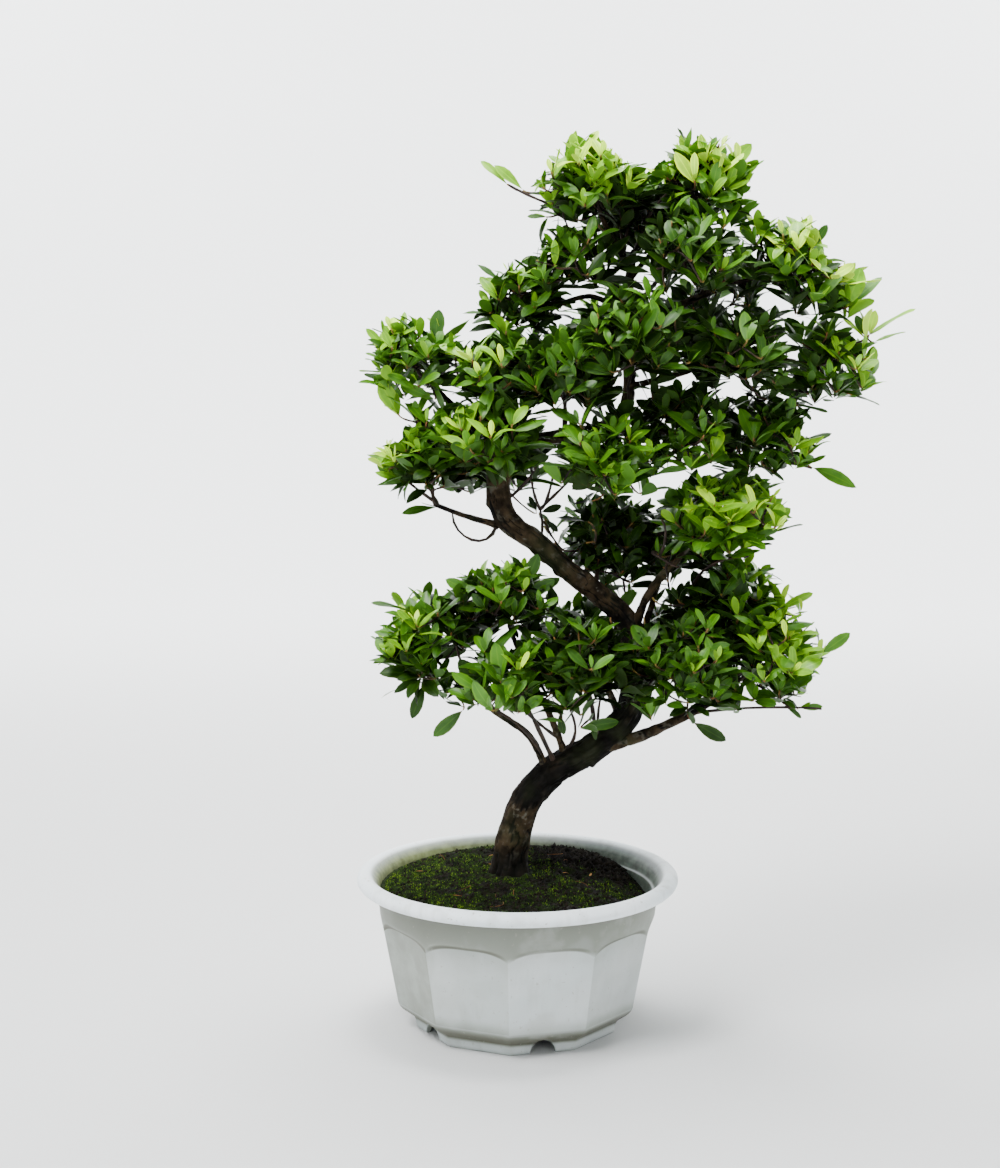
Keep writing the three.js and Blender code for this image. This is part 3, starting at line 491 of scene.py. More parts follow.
plastic = {
    "clean": [(0.82, 0.90, 0.935, 1), (0.91, 0.962, 0.99, 1)],
    # grime with painted shade, and the deep painted shade of the collar, the arches' recesses and the cove
    "grimeAndShade": (0.24, 0.26, 0.225, 1), "deepGrimeAndShade": (0.085, 0.082, 0.055, 1),
    # stains: scale, detail, level and softness of the patches, how strong, and the colour
    "streaks": [(130.0, 3.0, 0.62, 0.1), 0.30, (0.52, 0.55, 0.54)],
    "smudges": [(38.0, 4.0, 0.64, 0.07), 0.35, (0.40, 0.42, 0.39)],
    "specks": [(420.0, 2.0, 0.70, 0.03), 0.5, (0.30, 0.30, 0.26)],
    # the film inside, at the left and at the right
    "thinFilm": [(0.225, 0.265, 0.105, 1), (0.100, 0.128, 0.104, 1)],
    "thickFilm": [(0.105, 0.125, 0.045, 1), (0.045, 0.056, 0.042, 1)],
}


# Weathered pale plastic: grey clouds, rain streaks, scuffs, warm grime and painted shade where the
# attribute says, and a green film inside
def makePotMaterial():
    material, tree, surface = newMaterial("weatheredShadedPlastic", {
        "Roughness": 0.5, "Specular IOR Level": 0.42, "IOR": 1.46})
    place = objectPlace(tree)
    inside, grimeAndShade = attributeValue(tree, "inside"), attributeValue(tree, "grimeAndShade")
    cloud, grain = patches(tree, place, 24.0, 6.0, 0.52, 0.2)
    colour = mixColours(tree, cloud, *plastic["clean"])
    upright = addNode(tree, "ShaderNodeMapping", None, {
        "Vector": place, "Scale": (1.0, 1.0, 0.12)}).outputs["Vector"]
    colour = stained(tree, colour, upright, *plastic["streaks"])
    darkening, _ = patches(tree, place, 75.0, 6.0, 0.46, 0.24)
    # the attribute's grime and painted shade darken the plastic towards a warm grey, in patches
    colour = mixColours(tree, times(tree, grimeAndShade, mixValues(tree, darkening, 0.88, 1.0)), colour, plastic["grimeAndShade"])
    # above 1 it paints the deep shade of the collar under the rim, the arches' recesses and the cove under
    # the body
    deep = ranged(tree, grimeAndShade, 1.0, pot["mostGrimeAndShade"], 0.0, 0.9)
    colour = mixColours(tree, deep, colour, plastic["deepGrimeAndShade"])
    colour = stained(tree, colour, place, *plastic["smudges"])
    colour = stained(tree, colour, place, *plastic["specks"])
    film, _ = patches(tree, place, 190.0, 8.0, 0.5, 0.26)
    aside = addNode(tree, "ShaderNodeSeparateXYZ", None, {"Vector": place}).outputs["X"]
    rightward = ranged(tree, aside, -0.07, 0.05)
    thin = mixColours(tree, rightward, *plastic["thinFilm"])
    thick = mixColours(tree, rightward, *plastic["thickFilm"])
    colour = mixColours(tree, inside, colour, mixColours(tree, film, thick, thin))
    connect(tree, colour, surface, "Base Color")
    connect(tree, mixValues(tree, cloud, 0.62, 0.44), surface, "Roughness")
    addBump(tree, grain, surface, 0.25, 0.0006)
    return material


addPiece("potShell", makePot(), makePotMaterial(), ["pot"])


trunk = {
    "knots": [
        [-4.5, 8, 93.3, 11.3], [-4, 8, 104, 10.9], [3, 6, 133, 9.8], [11, 5, 147, 9.6], [25, 4, 160, 9.4],
        [51, 3, 176, 9], [69, 3, 196, 8.6], [72, 4, 221, 7.8], [70, 5, 248, 7.4],
        [51, 4, 268, 6.6], [31, 2, 284, 6.3], [11, 0, 302, 6.5], [-6.5, 0, 315, 7],
        [-12, 2, 330, 7.2], [-10, 4, 347, 7], [-1, 6, 358, 6], [17, 8, 364, 5],
        [45, 10, 369, 4.6], [62, 12, 376, 4.4], [68, 12, 390, 4.2], [68, 10, 419, 3.8],
        [67, 10, 449, 3.2], [70, 10, 478, 2.4]],
    "flare": 1.1, "flareHeight": 6, "sunk": 2.5, "scars": (0.001, -0.004, 0.133),
    "crownShade": [[93, 122, 140, 155, 235, 268], [1, 1, 0.58, 0.26, 0.34, 1]],  # heights, and how light the bark is painted there: painted shade under the crown
    "columns": 96, "step": 1.15,
    "crackDepth": 1.1, "plateDepth": 0.6, "knobDepth": 0.55, "grainDepth": 0.2,
    # knobs and old cut ends: x, y, z, how wide and how high
    "burls": [[-12, -4, 351, 7, 3.2], [-16, -3, 338, 5, 1.6], [76, -2, 236, 6, 1.6], [62, -4, 186, 7, 1.4],
              [8, -3, 142, 6, 1.2], [36, -5, 170, 6, 1.5], [-10, 2, 112, 6, 1.0], [6, -5, 306, 6, 1.4],
              [-19, -1, 325, 3, 2.2], [-5, -4, 338, 3.5, 1.6], [-20, 0, 343, 2.6, 2.0],
              [24, 2, 283, 2.6, 1.4], [43, 2, 281, 2.6, 1.6], [4, -8, 309, 3, 1.2],
              [63, 0, 262, 3, 1.4], [79, 2, 205, 3, 1.6], [46, 0, 163, 2.4, 1.6],
              [20, 2, 140, 2.6, 1.4], [76, 0, 214, 2.6, 1.4], [14, 4, 161, 3, 1.2]],
}
boughs = {
    "knots": {  # knots, then the radius at the start and at the tip
        "bough_lower_left": [[[19, 3, 157], [7, -5, 182], [-11, -9, 196], [-33, -11, 211]], 3, 1.9],
        "bough_lower_left_top": [[[31, 4, 164], [22, -6, 190], [7, -9, 221], [-4, -11, 247]], 2.6, 1.7],
        "bough_lower_right": [[[48, 3, 173], [75, -2, 181], [102, -6, 194], [128, -8, 209]], 4.2, 2.2],
        "bough_lower_right_top": [[[71, 5, 236], [94, 10, 247], [113, 13, 258]], 2.6, 1.8],
        "bough_lower_back": [[[64, 3, 190], [58, 20, 205], [49, 34, 216]], 2.8, 1.9],
        "bough_mid_right": [[[71, 5, 243], [80, -5, 270], [96, -10, 291], [107, -12, 303]], 3.4, 2],
        "bough_mid_right_back": [[[71, 5, 226], [84, 24, 258], [93, 35, 283]], 2.6, 1.8],
        "bough_mid_left": [[[-12, 1, 312], [-32, -6, 318], [-50, -9, 325]], 2.2, 1.6],
        "bough_upper_left": [[[-12, 4, 342], [-30, -2, 374], [-47, -4, 392], [-58, -5, 402]], 3, 1.8],
        "bough_upper_left_inner": [[[67, 10, 440], [45, 8, 451], [24, 7, 446]], 2.2, 1.7],
        "bough_centre_right": [[[68, 11, 396], [93, -6, 403], [112, -18, 409]], 2.6, 1.8],
        "bough_right_low": [[[52, 11, 371], [92, 8, 368], [124, 5, 362]], 2.8, 1.9],
        "bough_right_mid": [[[68, 10, 408], [110, 6, 417], [148, 4, 414], [169, 4, 411]], 3, 1.9],
        "bough_right_upper": [[[67, 10, 428], [102, 2, 447], [130, -2, 459]], 3, 1.9],
        "bough_right_back": [[[67, 10, 420], [92, 24, 430], [108, 33, 436]], 2.4, 1.8],
        "bough_top_right": [[[68, 10, 462], [86, 1, 482], [99, -3, 494]], 2.2, 1.7],
        "bough_top_left": [[[69, 10, 468], [56, 2, 487], [50, -2, 498]], 2.2, 1.7],
        "bough_back_left": [[[-6, 5, 354], [-4, 20, 376], [-2, 30, 392]], 2.4, 1.8],
        "bough_mid_front": [[[38, 9, 368], [45, -12, 363], [49, -26, 357]], 2.2, 1.7],
    },
    "columns": 18, "step": 1.6, "swelling": 0.45, "firstSeed": 40,
    "slimness": 0.88, "fullGirth": 4,  # boughs that start thinner than this are made slimmer
}


# Bark in the unrolled space of a limb: broad plates, knobs, a fine grain, and fissures where a
# stretched noise is near zero, exp(-(n / w)^2). Negative values are the fissures. The second
# result runs from 0 in the fissures to 1 on the plates.
def barkRelief(along, radii, columns, seed):
    angle = np.linspace(0, 2 * math.pi, columns, endpoint=False)[None, :]
    girth = radii[:, None]
    place = np.stack([girth * np.cos(angle), girth * np.sin(angle),
                      np.broadcast_to(along[:, None], (len(along), columns))], axis=-1)
    plates = layeredNoise(place / [7, 7, 20], seed, 3)
    split = layeredNoise(place / [3.4, 3.4, 13], seed + 10, 2)
    cross = layeredNoise(place / [5, 5, 3.2], seed + 20, 2)
    grain = layeredNoise(place / [1.1, 1.1, 3.5], seed + 30, 2)
    fissure = np.exp(-(split / 0.11) ** 2) + 0.45 * np.exp(-(cross / 0.07) ** 2)
    share = np.clip(girth / 9, 0.15, 1.15)
    knobs = layeredNoise(place / [5.5, 5.5, 7], seed + 40, 1)
    relief = share * (trunk["plateDepth"] * plates - trunk["crackDepth"] * np.minimum(fissure, 1.2)
                      + trunk["grainDepth"] * grain + trunk["knobDepth"] * knobs)
    return relief, np.clip(0.5 + 0.5 * relief / share / trunk["crackDepth"], 0, 1)


# The trunk: a round section through the knots, with the root flare f exp(-s / h) times
# (1 + 0.35 cos 4a + 0.22 cos 3a), burls h exp(-d^2 / w^2), and bark with painted shade under the crown
def makeTrunk():
    curve = throughKnots(trunk["knots"])
    start = curve[0].copy()
    start[2] -= trunk["sunk"]
    curve, along = evenly(np.vstack([start, curve]), trunk["step"])
    path, radii = curve[:, :3], curve[:, 3]
    grid, outward = sweep(path, radii, trunk["columns"])
    angle = np.linspace(0, 2 * math.pi, trunk["columns"], endpoint=False)
    rise = np.maximum(along - trunk["sunk"], 0)[:, None]
    lobes = 1 + 0.35 * np.cos(4 * angle + 0.6) + 0.22 * np.cos(3 * angle + 2.0)
    push = trunk["flare"] * np.exp(-rise / trunk["flareHeight"]) * lobes[None]
    for x, y, z, width, height in trunk["burls"]:
        away = np.linalg.norm(grid - [x, y, z], axis=-1)
        push = push + height * np.exp(-(away / width) ** 2)
    relief, shade = barkRelief(along, radii, trunk["columns"], 5)
    # painted shade under the crown: the relief attribute is made darker by height
    shade = shade * np.interp(path[:, 2], *trunk["crownShade"])[:, None]
    grid = grid + outward * (push + relief)[..., None]
    grid[-1] = mix(grid[-1], path[-1], 0.4)
    part = closedGrid(grid, path[0], path[-1])
    part["relief"] = np.concatenate([shade.ravel(), [0.5, 0.5]])
    return part


# One bough: radii from start to tip, wider where it leaves its parent by
# 1 + w exp(-s / 2.2r), with a slow wobble
def makeBough(knots, startRadius, tipRadius, seed):
    share = np.linspace(0, 1, len(knots))
    rows = np.column_stack([knots, mix(startRadius, tipRadius, share)])
    curve, along = evenly(throughKnots(rows), boughs["step"])
    path, radii = curve[:, :3], curve[:, 3].copy()
    wobble = layeredNoise(np.stack([along / 9, along * 0, along * 0 + seed], axis=-1), seed, 2)
    relief, shade = barkRelief(along, radii, boughs["columns"], seed)
    swelling = boughs["swelling"] * np.exp(-along / (2.2 * startRadius))
    radii *= (1 + swelling) * (1 + 0.10 * wobble)
    grid, outward = sweep(path, radii, boughs["columns"])
    grid = grid + outward * relief[..., None]
    part = closedGrid(grid, path[0], path[-1])
    part["relief"] = np.concatenate([shade.ravel(), [0.5, 0.5]])
    return part


def makeBoughs():
    parts = []
    for i, (knots, startRadius, tipRadius) in enumerate(boughs["knots"].values()):
        slim = 1 if startRadius > boughs["fullGirth"] else boughs["slimness"]
        parts.append(makeBough(knots, startRadius * slim, tipRadius * slim, boughs["firstSeed"] + i))
    return joined(parts)


barkColours = {
    "plates": [(0.010, 0.0065, 0.0035, 1), (0.044, 0.029, 0.014, 1)],
    "fissures": (0.002, 0.0015, 0.001, 1),
    "lichen": [(150.0, 6.0, 0.60, 0.06), 0.55, (0.085, 0.080, 0.062)],
    "flecks": (0.13, 0.125, 0.10, 1),
    "film": [(30.0, 3.0, 0.60, 0.10), 0.35, (0.035, 0.045, 0.016)],
    "darkFoot": (0.003, 0.003, 0.002, 1), "darkFootFrom": 0.112, "darkFootFull": 0.100,  # heights in metres
}


# Dark brown bark with a red cast, black in its fissures and where it meets the soil, darker under the
# crown as painted shade, with grey lichen on the plates, a few flecks, a cluster of scars on the lower
# trunk and a green film
def makeBarkMaterial():
    material, tree, surface = newMaterial("fissuredBark", {"Roughness": 0.85, "Specular IOR Level": 0.12})
    place = objectPlace(tree)
    relief = attributeValue(tree, "relief")
    tint, grain = patches(tree, place, 130.0, 6.0, 0.5, 0.16)
    plate = mixColours(tree, tint, *barkColours["plates"])
    plate = stained(tree, plate, place, *barkColours["lichen"])
    # the relief attribute also holds the trunk's painted shade under the crown, which darkens it towards the
    # fissures' colour
    depth = softRanged(tree, relief, 0.10, 0.50)
    colour = mixColours(tree, depth, barkColours["fissures"], plate)
    away = addNode(tree, "ShaderNodeVectorMath", {"operation": "DISTANCE"}, {
        0: place, 1: trunk["scars"]}).outputs["Value"]
    level = softRanged(tree, away, 0.011, 0.003, 0.71, 0.56)
    fleck, _ = patches(tree, place, 300.0, 4.0, level, 0.05)
    colour = mixColours(tree, times(tree, times(tree, fleck, depth), 0.45), colour, barkColours["flecks"])
    colour = stained(tree, colour, place, *barkColours["film"])
    # darker towards the soil, below a given height
    height = addNode(tree, "ShaderNodeSeparateXYZ", None, {"Vector": place}).outputs["Z"]
    darkFoot = softRanged(tree, height, barkColours["darkFootFrom"], barkColours["darkFootFull"], 0.0, 0.85)
    colour = mixColours(tree, darkFoot, colour, barkColours["darkFoot"])
    connect(tree, colour, surface, "Base Color")
    connect(tree, mixValues(tree, tint, 0.92, 0.72), surface, "Roughness")
    addBump(tree, grain, surface, 0.7, 0.0008)
    return material


bark = makeBarkMaterial()
trunkNodes = [name for name in nodeNames if name.startswith("trunk_")]
boughNodes = [name for name in nodeNames if name.startswith("bough_")]
massNodes = [name for name in nodeNames if name.startswith("mass_")]
addPiece("trunkBark", makeTrunk(), bark, trunkNodes)
addPiece("boughBark", makeBoughs(), bark, boughNodes)

# The photograph's view, worked out from the pot's rim, panels and foot: the focal length and the
# picture's size in pixels, the sensor's long side, the downward pitch, and the place in metres
camera = {
    "focal": 1752.33, "longSide": 1168, "width": 1000, "sensor": 36, "pitch": 5.905,
    "place": (-0.0109, -1.0719, 0.3866),
}


# Where points in millimetres show in the photograph, in its pixels: with p the camera's pitch,
# depth = y cos p - z sin p and up = y sin p + z cos p, then (f x / depth, -f up / depth)
def inPicture(points):
    away = points - np.array(camera["place"]) / mm
    pitch = math.radians(camera["pitch"])
    depth = away[..., 1] * math.cos(pitch) - away[..., 2] * math.sin(pitch)
    up = away[..., 1] * math.sin(pitch) + away[..., 2] * math.cos(pitch)
    return np.stack([camera["width"] / 2 + camera["focal"] * away[..., 0] / depth,
                     camera["longSide"] / 2 - camera["focal"] * up / depth], axis=-1)


# The point at a depth y that shows at a pixel: the camera's place + t d, where d = (u, cos p +
# v sin p, v cos p - sin p), and u and v are the pixel's offsets from the middle over f
def behindPixel(column, row, y):
    pitch = math.radians(camera["pitch"])
    u = (column - camera["width"] / 2) / camera["focal"]
    v = (camera["longSide"] / 2 - row) / camera["focal"]
    way = np.array([u, math.cos(pitch) + v * math.sin(pitch), v * math.cos(pitch) - math.sin(pitch)])
    place = np.array(camera["place"]) / mm
    return place + way * (y - place[1]) / way[1]


crown = {
    # centre, half sizes, what carries the stem, main twigs, and for some a seat in the trunk
    "masses": {
        "lower_left_tip": [[-55, -6, 236], [36, 38, 42], "bough_lower_left", 3],
        "lower_left_top": [[-8, -10, 266], [37, 36, 29], "bough_lower_left_top", 3],
        "lower_left_front": [[-5, -42, 222], [36, 30, 29], "trunk_lower", 3, {"seat": [25, 4, 160]}],
        "lower_middle": [[40, -36, 228], [32, 30, 40], "trunk_lower", 3, {"seat": [50, 3, 175]}],
        "lower_right_front": [[98, -36, 228], [39, 33, 40], "trunk_lower", 3, {"seat": [71, 4, 208]}],
        "lower_right_tip": [[150, -6, 230], [45, 40, 46], "bough_lower_right", 4],
        "lower_right_top": [[128, 16, 268], [42, 36, 28], "bough_lower_right_top", 3],
        "lower_back": [[40, 50, 226], [42, 34, 38], "bough_lower_back", 3],
        "lower_right_back": [[108, 46, 228], [38, 33, 36], "trunk_lower", 3, {"seat": [72, 4, 216]}],
        "mid_right": [[124, -14, 317], [43, 40, 31], "bough_mid_right", 4],
        "mid_back": [[54, 40, 300], [38, 34, 34], "trunk_diagonal", 3, {"seat": [48, 4, 271]}],
        "mid_right_back": [[104, 46, 300], [36, 33, 33], "bough_mid_right_back", 3],
        "mid_left_tip": [[-55, -8, 355], [35, 36, 32], "bough_mid_left", 3],
        "mid_left": [[-14, -32, 364], [34, 30, 28], "trunk_crook", 3, {"seat": [-12, 3, 340]}],
        "mid_front": [[51, -42, 354], [39, 31, 33], "bough_mid_front", 3],
        "mid_left_back": [[-12, 42, 352], [38, 34, 30], "trunk_crook", 3, {"seat": [-13, 3, 333]}],
        "upper_left_tip": [[-64, -5, 411], [30, 34, 30], "bough_upper_left", 3],
        "upper_left": [[-15, -22, 407], [33, 32, 28], "trunk_crook", 3, {"seat": [-2, 6, 357]}],
        "upper_left_inner": [[0, 6, 448], [35, 34, 24], "bough_upper_left_inner", 3],
        "centre_front": [[68, -44, 420], [42, 32, 36], "trunk_leader", 3, {"seat": [68, 11, 402]}],
        "centre_left": [[28, -34, 402], [30, 30, 30], "trunk_cross", 3, {"seat": [28, 9, 366]}],
        "centre_right": [[132, -28, 414], [34, 33, 32], "bough_centre_right", 3],
        "centre_low": [[98, -28, 368], [34, 31, 29], "trunk_cross", 3, {"seat": [56, 11, 373]}],
        "right_low": [[150, 4, 366], [42, 36, 27], "bough_right_low", 3],
        "right_mid": [[189, 4, 408], [35, 36, 30], "bough_right_mid", 3],
        "right_upper": [[168, -4, 467], [48, 42, 33], "bough_right_upper", 4],
        "top_right": [[114, -5, 517], [31, 34, 35], "bough_top_right", 3],
        "top_left": [[45, -5, 515], [38, 36, 32], "bough_top_left", 4],
        "top_left_low": [[30, -16, 468], [31, 30, 23], "trunk_leader", 3, {"seat": [67, 10, 452]}],
        "top_back": [[82, 38, 498], [42, 34, 36], "trunk_leader", 3],
        "centre_back": [[58, 52, 425], [44, 35, 40], "trunk_leader", 3, {"seat": [68, 11, 412]}],
        "right_back": [[130, 42, 442], [40, 33, 36], "bough_right_back", 3],
        "upper_left_back": [[-2, 42, 404], [36, 31, 31], "bough_back_left", 3],
        "top_front": [[100, -34, 472], [34, 30, 30], "trunk_leader", 3, {"seat": [67, 10, 444]}],
    },
    "firstSeed": 11, "leafSeed": 7,
    "mainSpiral": [0.94, 1.5], "fineSpiral": [0.97, 1.78],  # top and span of the directions
    # the stem's length as a share of the way to the centre, and how much it bends up
    "stemFromBough": 0.6, "stemFromTrunk": 0.8, "stemLift": 0.12,
    "stemRadius": [1.5, 1.0], "trunkStemRadius": [1.9, 1.0], "mainRadius": [1.0, 0.7],
    "fineRadius": [0.82, 0.5], "spurRadius": [0.42, 0.25],
    "tipsPerMass": 40, "usualReach": 35.0,  # fine twigs in a mass of the usual size
    "mainShell": [0.5, 0.62], "shell": [0.34, 0.86],  # where twigs end, as a share of the reach
    "leafLength": 23.0, "leafWidth": 0.38, "leafThickness": 0.32,
    "reachSlack": 1.10,  # how far past its mass's reach a leaf may stand
    "spurs": 130, "spurLength": [5, 17],
    # the sky's directions: how many, phase, top and span; what shades a rosette: how near, how far
    # and how far aside; and a spot's weight: the depth where it ends and over how much it fades
    "skySpiral": [26, 0.5, 0.98, 1.25], "shading": [5, 150, 14], "spotFade": [45, 55],
    # a leaf's tone: the shares of its shoot's light, its youth and chance, and a shift
    "toneShares": [0.76, 0.27, 0.22], "toneShift": -0.04,
    # leaves that stand out of the outline: the tip and the foot in the photograph's pixels, the
    # depth in millimetres, how wide the leaf shows, and its tone of painted light and shade
    "outline": [
        [481, 160, 507, 184, -8, 0.26, 0.80], [495, 164, 523, 190, -8, 0.30, 0.95],
        [572, 136, 573, 172, -5, 0.42, 0.72], [600, 147, 596, 178, -6, 0.42, 0.75],
        [553, 161, 561, 192, -6, 0.36, 0.62], [582, 181, 628, 184, -14, 0.30, 1.05],
        [527, 216, 546, 217, -4, 0.30, 0.45], [544, 229, 566, 231, -4, 0.18, 0.25],
        [521, 261, 547, 260, 0, 0.42, 0.45], [538, 278, 561, 274, -2, 0.34, 0.60],
        [478, 263, 503, 284, -6, 0.20, 0.55], [510, 272, 513, 290, -8, 0.40, 0.50],
        [523, 273, 520, 292, -8, 0.36, 0.60], [462, 312, 489, 313, -6, 0.14, 0.50],
        [366, 328, 386, 349, -6, 0.30, 0.90], [382, 325, 399, 340, -8, 0.34, 0.85],
        [438, 309, 435, 345, -8, 0.46, 0.42], [372, 351, 392, 361, -6, 0.14, 0.45],
        [380, 381, 398, 414, -10, 0.50, 0.98], [401, 384, 434, 399, -12, 0.34, 0.70],
        [374, 457, 404, 481, -10, 0.20, 0.95], [375, 471, 405, 483, -10, 0.22, 0.80],
        [401, 512, 438, 507, -8, 0.24, 0.40], [371, 601, 410, 611, -8, 0.12, 0.55],
        [374, 631, 400, 638, -8, 0.22, 0.60], [372, 662, 406, 653, -8, 0.16, 0.60],
        [411, 719, 425, 684, -12, 0.34, 0.30], [433, 737, 463, 710, -16, 0.36, 0.42],
        [393, 692, 420, 677, -12, 0.24, 0.35], [538, 554, 526, 584, -12, 0.46, 0.40],
        [555, 580, 524, 596, -16, 0.40, 0.55], [445, 580, 477, 594, -14, 0.38, 0.75],
        [850, 632, 820, 655, -6, 0.34, 0.62], [817, 627, 820, 655, -4, 0.12, 0.40],
        [823, 706, 800, 708, -10, 0.34, 0.70], [802, 718, 784, 704, -8, 0.26, 0.40],
        [726, 742, 693, 722, -16, 0.36, 0.30], [813, 592, 779, 610, -6, 0.24, 0.85],
        [791, 508, 764, 526, -16, 0.44, 0.85], [803, 523, 775, 532, -12, 0.10, 0.45],
        [858, 485, 811, 467, -4, 0.30, 0.62], [785, 480, 764, 466, -2, 0.24, 0.20],
        [881, 404, 852, 395, 0, 0.14, 0.40], [812, 420, 798, 406, 0, 0.28, 0.20],
        [915, 306, 869, 335, -2, 0.10, 0.95], [906, 330, 874, 342, 0, 0.12, 0.90],
        [856, 315, 865, 336, -6, 0.44, 0.55], [876, 310, 869, 335, 4, 0.44, 1.05],
        [881, 275, 849, 306, 0, 0.26, 0.75], [862, 267, 847, 307, -6, 0.50, 0.95],
        [827, 224, 814, 246, -4, 0.40, 0.55], [752, 143, 723, 173, -6, 0.40, 0.98],
        [752, 170, 732, 191, -6, 0.40, 0.85], [755, 200, 730, 206, -6, 0.30, 0.70],
        [716, 136, 706, 160, -4, 0.34, 0.75], [725, 146, 718, 168, -8, 0.40, 0.60],
        [556, 516, 588, 522, -8, 0.14, 0.15], [567, 535, 592, 530, -8, 0.28, 0.10],
        [566, 548, 586, 543, -8, 0.14, 0.10], [562, 506, 541, 512, 14, 0.40, 0.12],
        [558, 532, 547, 520, 14, 0.42, 0.10], [529, 496, 536, 510, 14, 0.40, 0.14],
        [619, 721, 582, 728, -20, 0.34, 0.42], [564, 735, 559, 714, -18, 0.40, 0.25],
        [597, 740, 591, 722, -18, 0.32, 0.30], [573, 503, 592, 501, -8, 0.16, 0.12],
        [678, 127, 686, 143, -4, 0.20, 0.35], [674, 147, 682, 160, -4, 0.24, 0.70],
        [662, 164, 673, 177, -6, 0.34, 0.60],
    ],
    # further tips where the crown is thick in the photograph: its pixels, and the depth
    "infill": [
        [572, 160, -6], [600, 166, -6], [622, 176, -8], [642, 184, -6], [562, 186, -8], [590, 190, 0],
        [692, 152, -6], [736, 168, -6], [744, 208, -5], [760, 226, -6], [724, 186, -10], [706, 172, 2],
        [806, 300, 0], [800, 326, -8], [776, 386, -10], [815, 386, 0], [645, 398, -20], [662, 388, -25],
        [612, 572, 34], [636, 590, 34], [612, 604, -10], [660, 566, 38], [650, 542, -15], [628, 560, 12],
        [598, 562, 36], [622, 600, 38], [655, 600, 40], [676, 590, 44], [690, 602, 40], [640, 570, 20],
        [575, 702, -20], [555, 706, -15], [615, 640, -25], [480, 478, -10], [500, 468, -12], [452, 472, -14],
        [850, 268, -4], [858, 300, 2], [830, 300, -6], [790, 250, -10], [400, 620, -8], [410, 350, -8],
        [540, 514, 12], [550, 531, 14], [592, 502, 16], [594, 524, 16], [598, 546, 16], [648, 586, -12],
        [660, 570, -14], [642, 604, -12], [674, 588, -8], [656, 556, -8],
    ],
    # bare twigs that show between the masses, from where they leave their wood
    "bareTwigs": [
        [[-10, -2, 311], [-22, -7, 303], [-34, -8, 307], [-40, -8, 320]],
        [[-48, -9, 324], [-56, -12, 331], [-66, -14, 339], [-74, -14, 349]],
        [[-4, 4, 327], [4, 2, 337], [10, -2, 346], [16, -6, 355]],
        [[14, 1, 301], [15, 8, 307], [15, 11, 314], [14, 12, 321]],
        [[14, 12, 320], [11, 11, 328], [9, 10, 336], [8, 9, 345]],
        [[14, 12, 320], [18, 11, 327], [21, 10, 338], [23, 9, 346]],
        [[14, 12, 320], [21, 12, 328], [30, 11, 337], [34, 10, 343]],
        [[72, -14, 297], [82, -17, 296], [90, -19, 291], [97, -21, 288]],
        [[38, -6, 499], [24, -7, 503], [10, -8, 508], [-6, -8, 516]],
        [[15, 0, 164], [8, -8, 182], [-7, -14, 196], [-19, -18, 202]],
        [[-11, -14, 198], [-24, -18, 211], [-34, -20, 229], [-39, -20, 249]],
        [[24, -4, 179], [8, -12, 196], [-10, -20, 211]],
        [[34, -3, 171], [36, -10, 190], [29, -18, 207]],
        [[51, -6, 178], [48, -14, 196], [52, -22, 213]],
        [[106, -6, 193], [136, -10, 200], [167, -12, 201], [186, -12, 200]],
        [[133, 0, 351], [149, -1, 352], [165, -2, 350], [179, -4, 347]],
        [[51, -10, 346], [53, -12, 370], [47, -14, 393], [52, -12, 412]],
        [[64, 6, 347], [70, 2, 370], [67, 0, 391], [74, -4, 409]],
        [[70, 6, 479], [60, 2, 492], [50, -4, 504], [46, -8, 519]],
        [[74, 8, 485], [80, 4, 500], [88, 0, 510], [103, -4, 526]],
        [[67, 8, 478], [67, 8, 493], [70, 6, 506], [68, 2, 521]],
        [[109, -6, 454], [118, -8, 470], [124, -10, 483]],
        [[83, -14, 292], [90, -20, 304], [86, -24, 317]],
        [[106, 0, 278], [121, -8, 291], [140, -12, 294]],
    ],
    "bareRadius": [1.2, 0.7],
    # where the photograph is open, round the crown and through it: circles in its pixels
    "openings": [
        [420, 220, 80], [515, 232, 24], [552, 232, 9], [520, 138, 34], [586, 143, 6], [635, 128, 32],
        [655, 148, 12], [653, 200, 5], [715, 95, 38], [760, 115, 38], [800, 170, 45], [775, 190, 22],
        [860, 215, 45], [838, 257, 9], [900, 260, 25], [885, 300, 13], [847, 318, 7], [850, 335, 9],
        [905, 355, 28], [869, 350, 6], [895, 392, 14], [834, 376, 6], [860, 428, 32], [812, 425, 13],
        [765, 424, 6], [745, 427, 6], [743, 452, 6], [790, 458, 6], [835, 525, 32], [805, 488, 16],
        [724, 476, 7], [722, 497, 6], [667, 489, 6], [658, 508, 7], [736, 547, 6], [768, 552, 12],
        [805, 563, 18], [700, 580, 8], [675, 580, 6], [836, 605, 24], [791, 622, 6], [811, 634, 9],
        [838, 686, 30], [752, 703, 6], [760, 736, 27], [700, 771, 42], [805, 741, 30], [330, 350, 32],
        [350, 400, 28], [372, 430, 17], [450, 318, 9], [462, 290, 20], [489, 342, 8], [497, 367, 5],
        [410, 374, 6], [458, 395, 8], [430, 406, 6], [398, 430, 11], [484, 417, 7], [352, 470, 22],
        [355, 520, 40], [400, 540, 28], [445, 548, 18], [492, 552, 13], [474, 507, 10], [405, 503, 6],
        [520, 490, 5], [548, 486, 6], [562, 496, 7], [569, 528, 8], [565, 546, 6], [587, 560, 4],
        [548, 574, 6], [560, 587, 7], [380, 572, 20], [430, 562, 16], [358, 645, 18], [382, 676, 11],
        [380, 722, 27], [433, 706, 10], [420, 746, 25], [455, 741, 25], [495, 760, 25], [455, 662, 9],
        [512, 641, 8], [567, 656, 5], [545, 688, 6], [583, 688, 7], [543, 733, 10], [568, 738, 5],
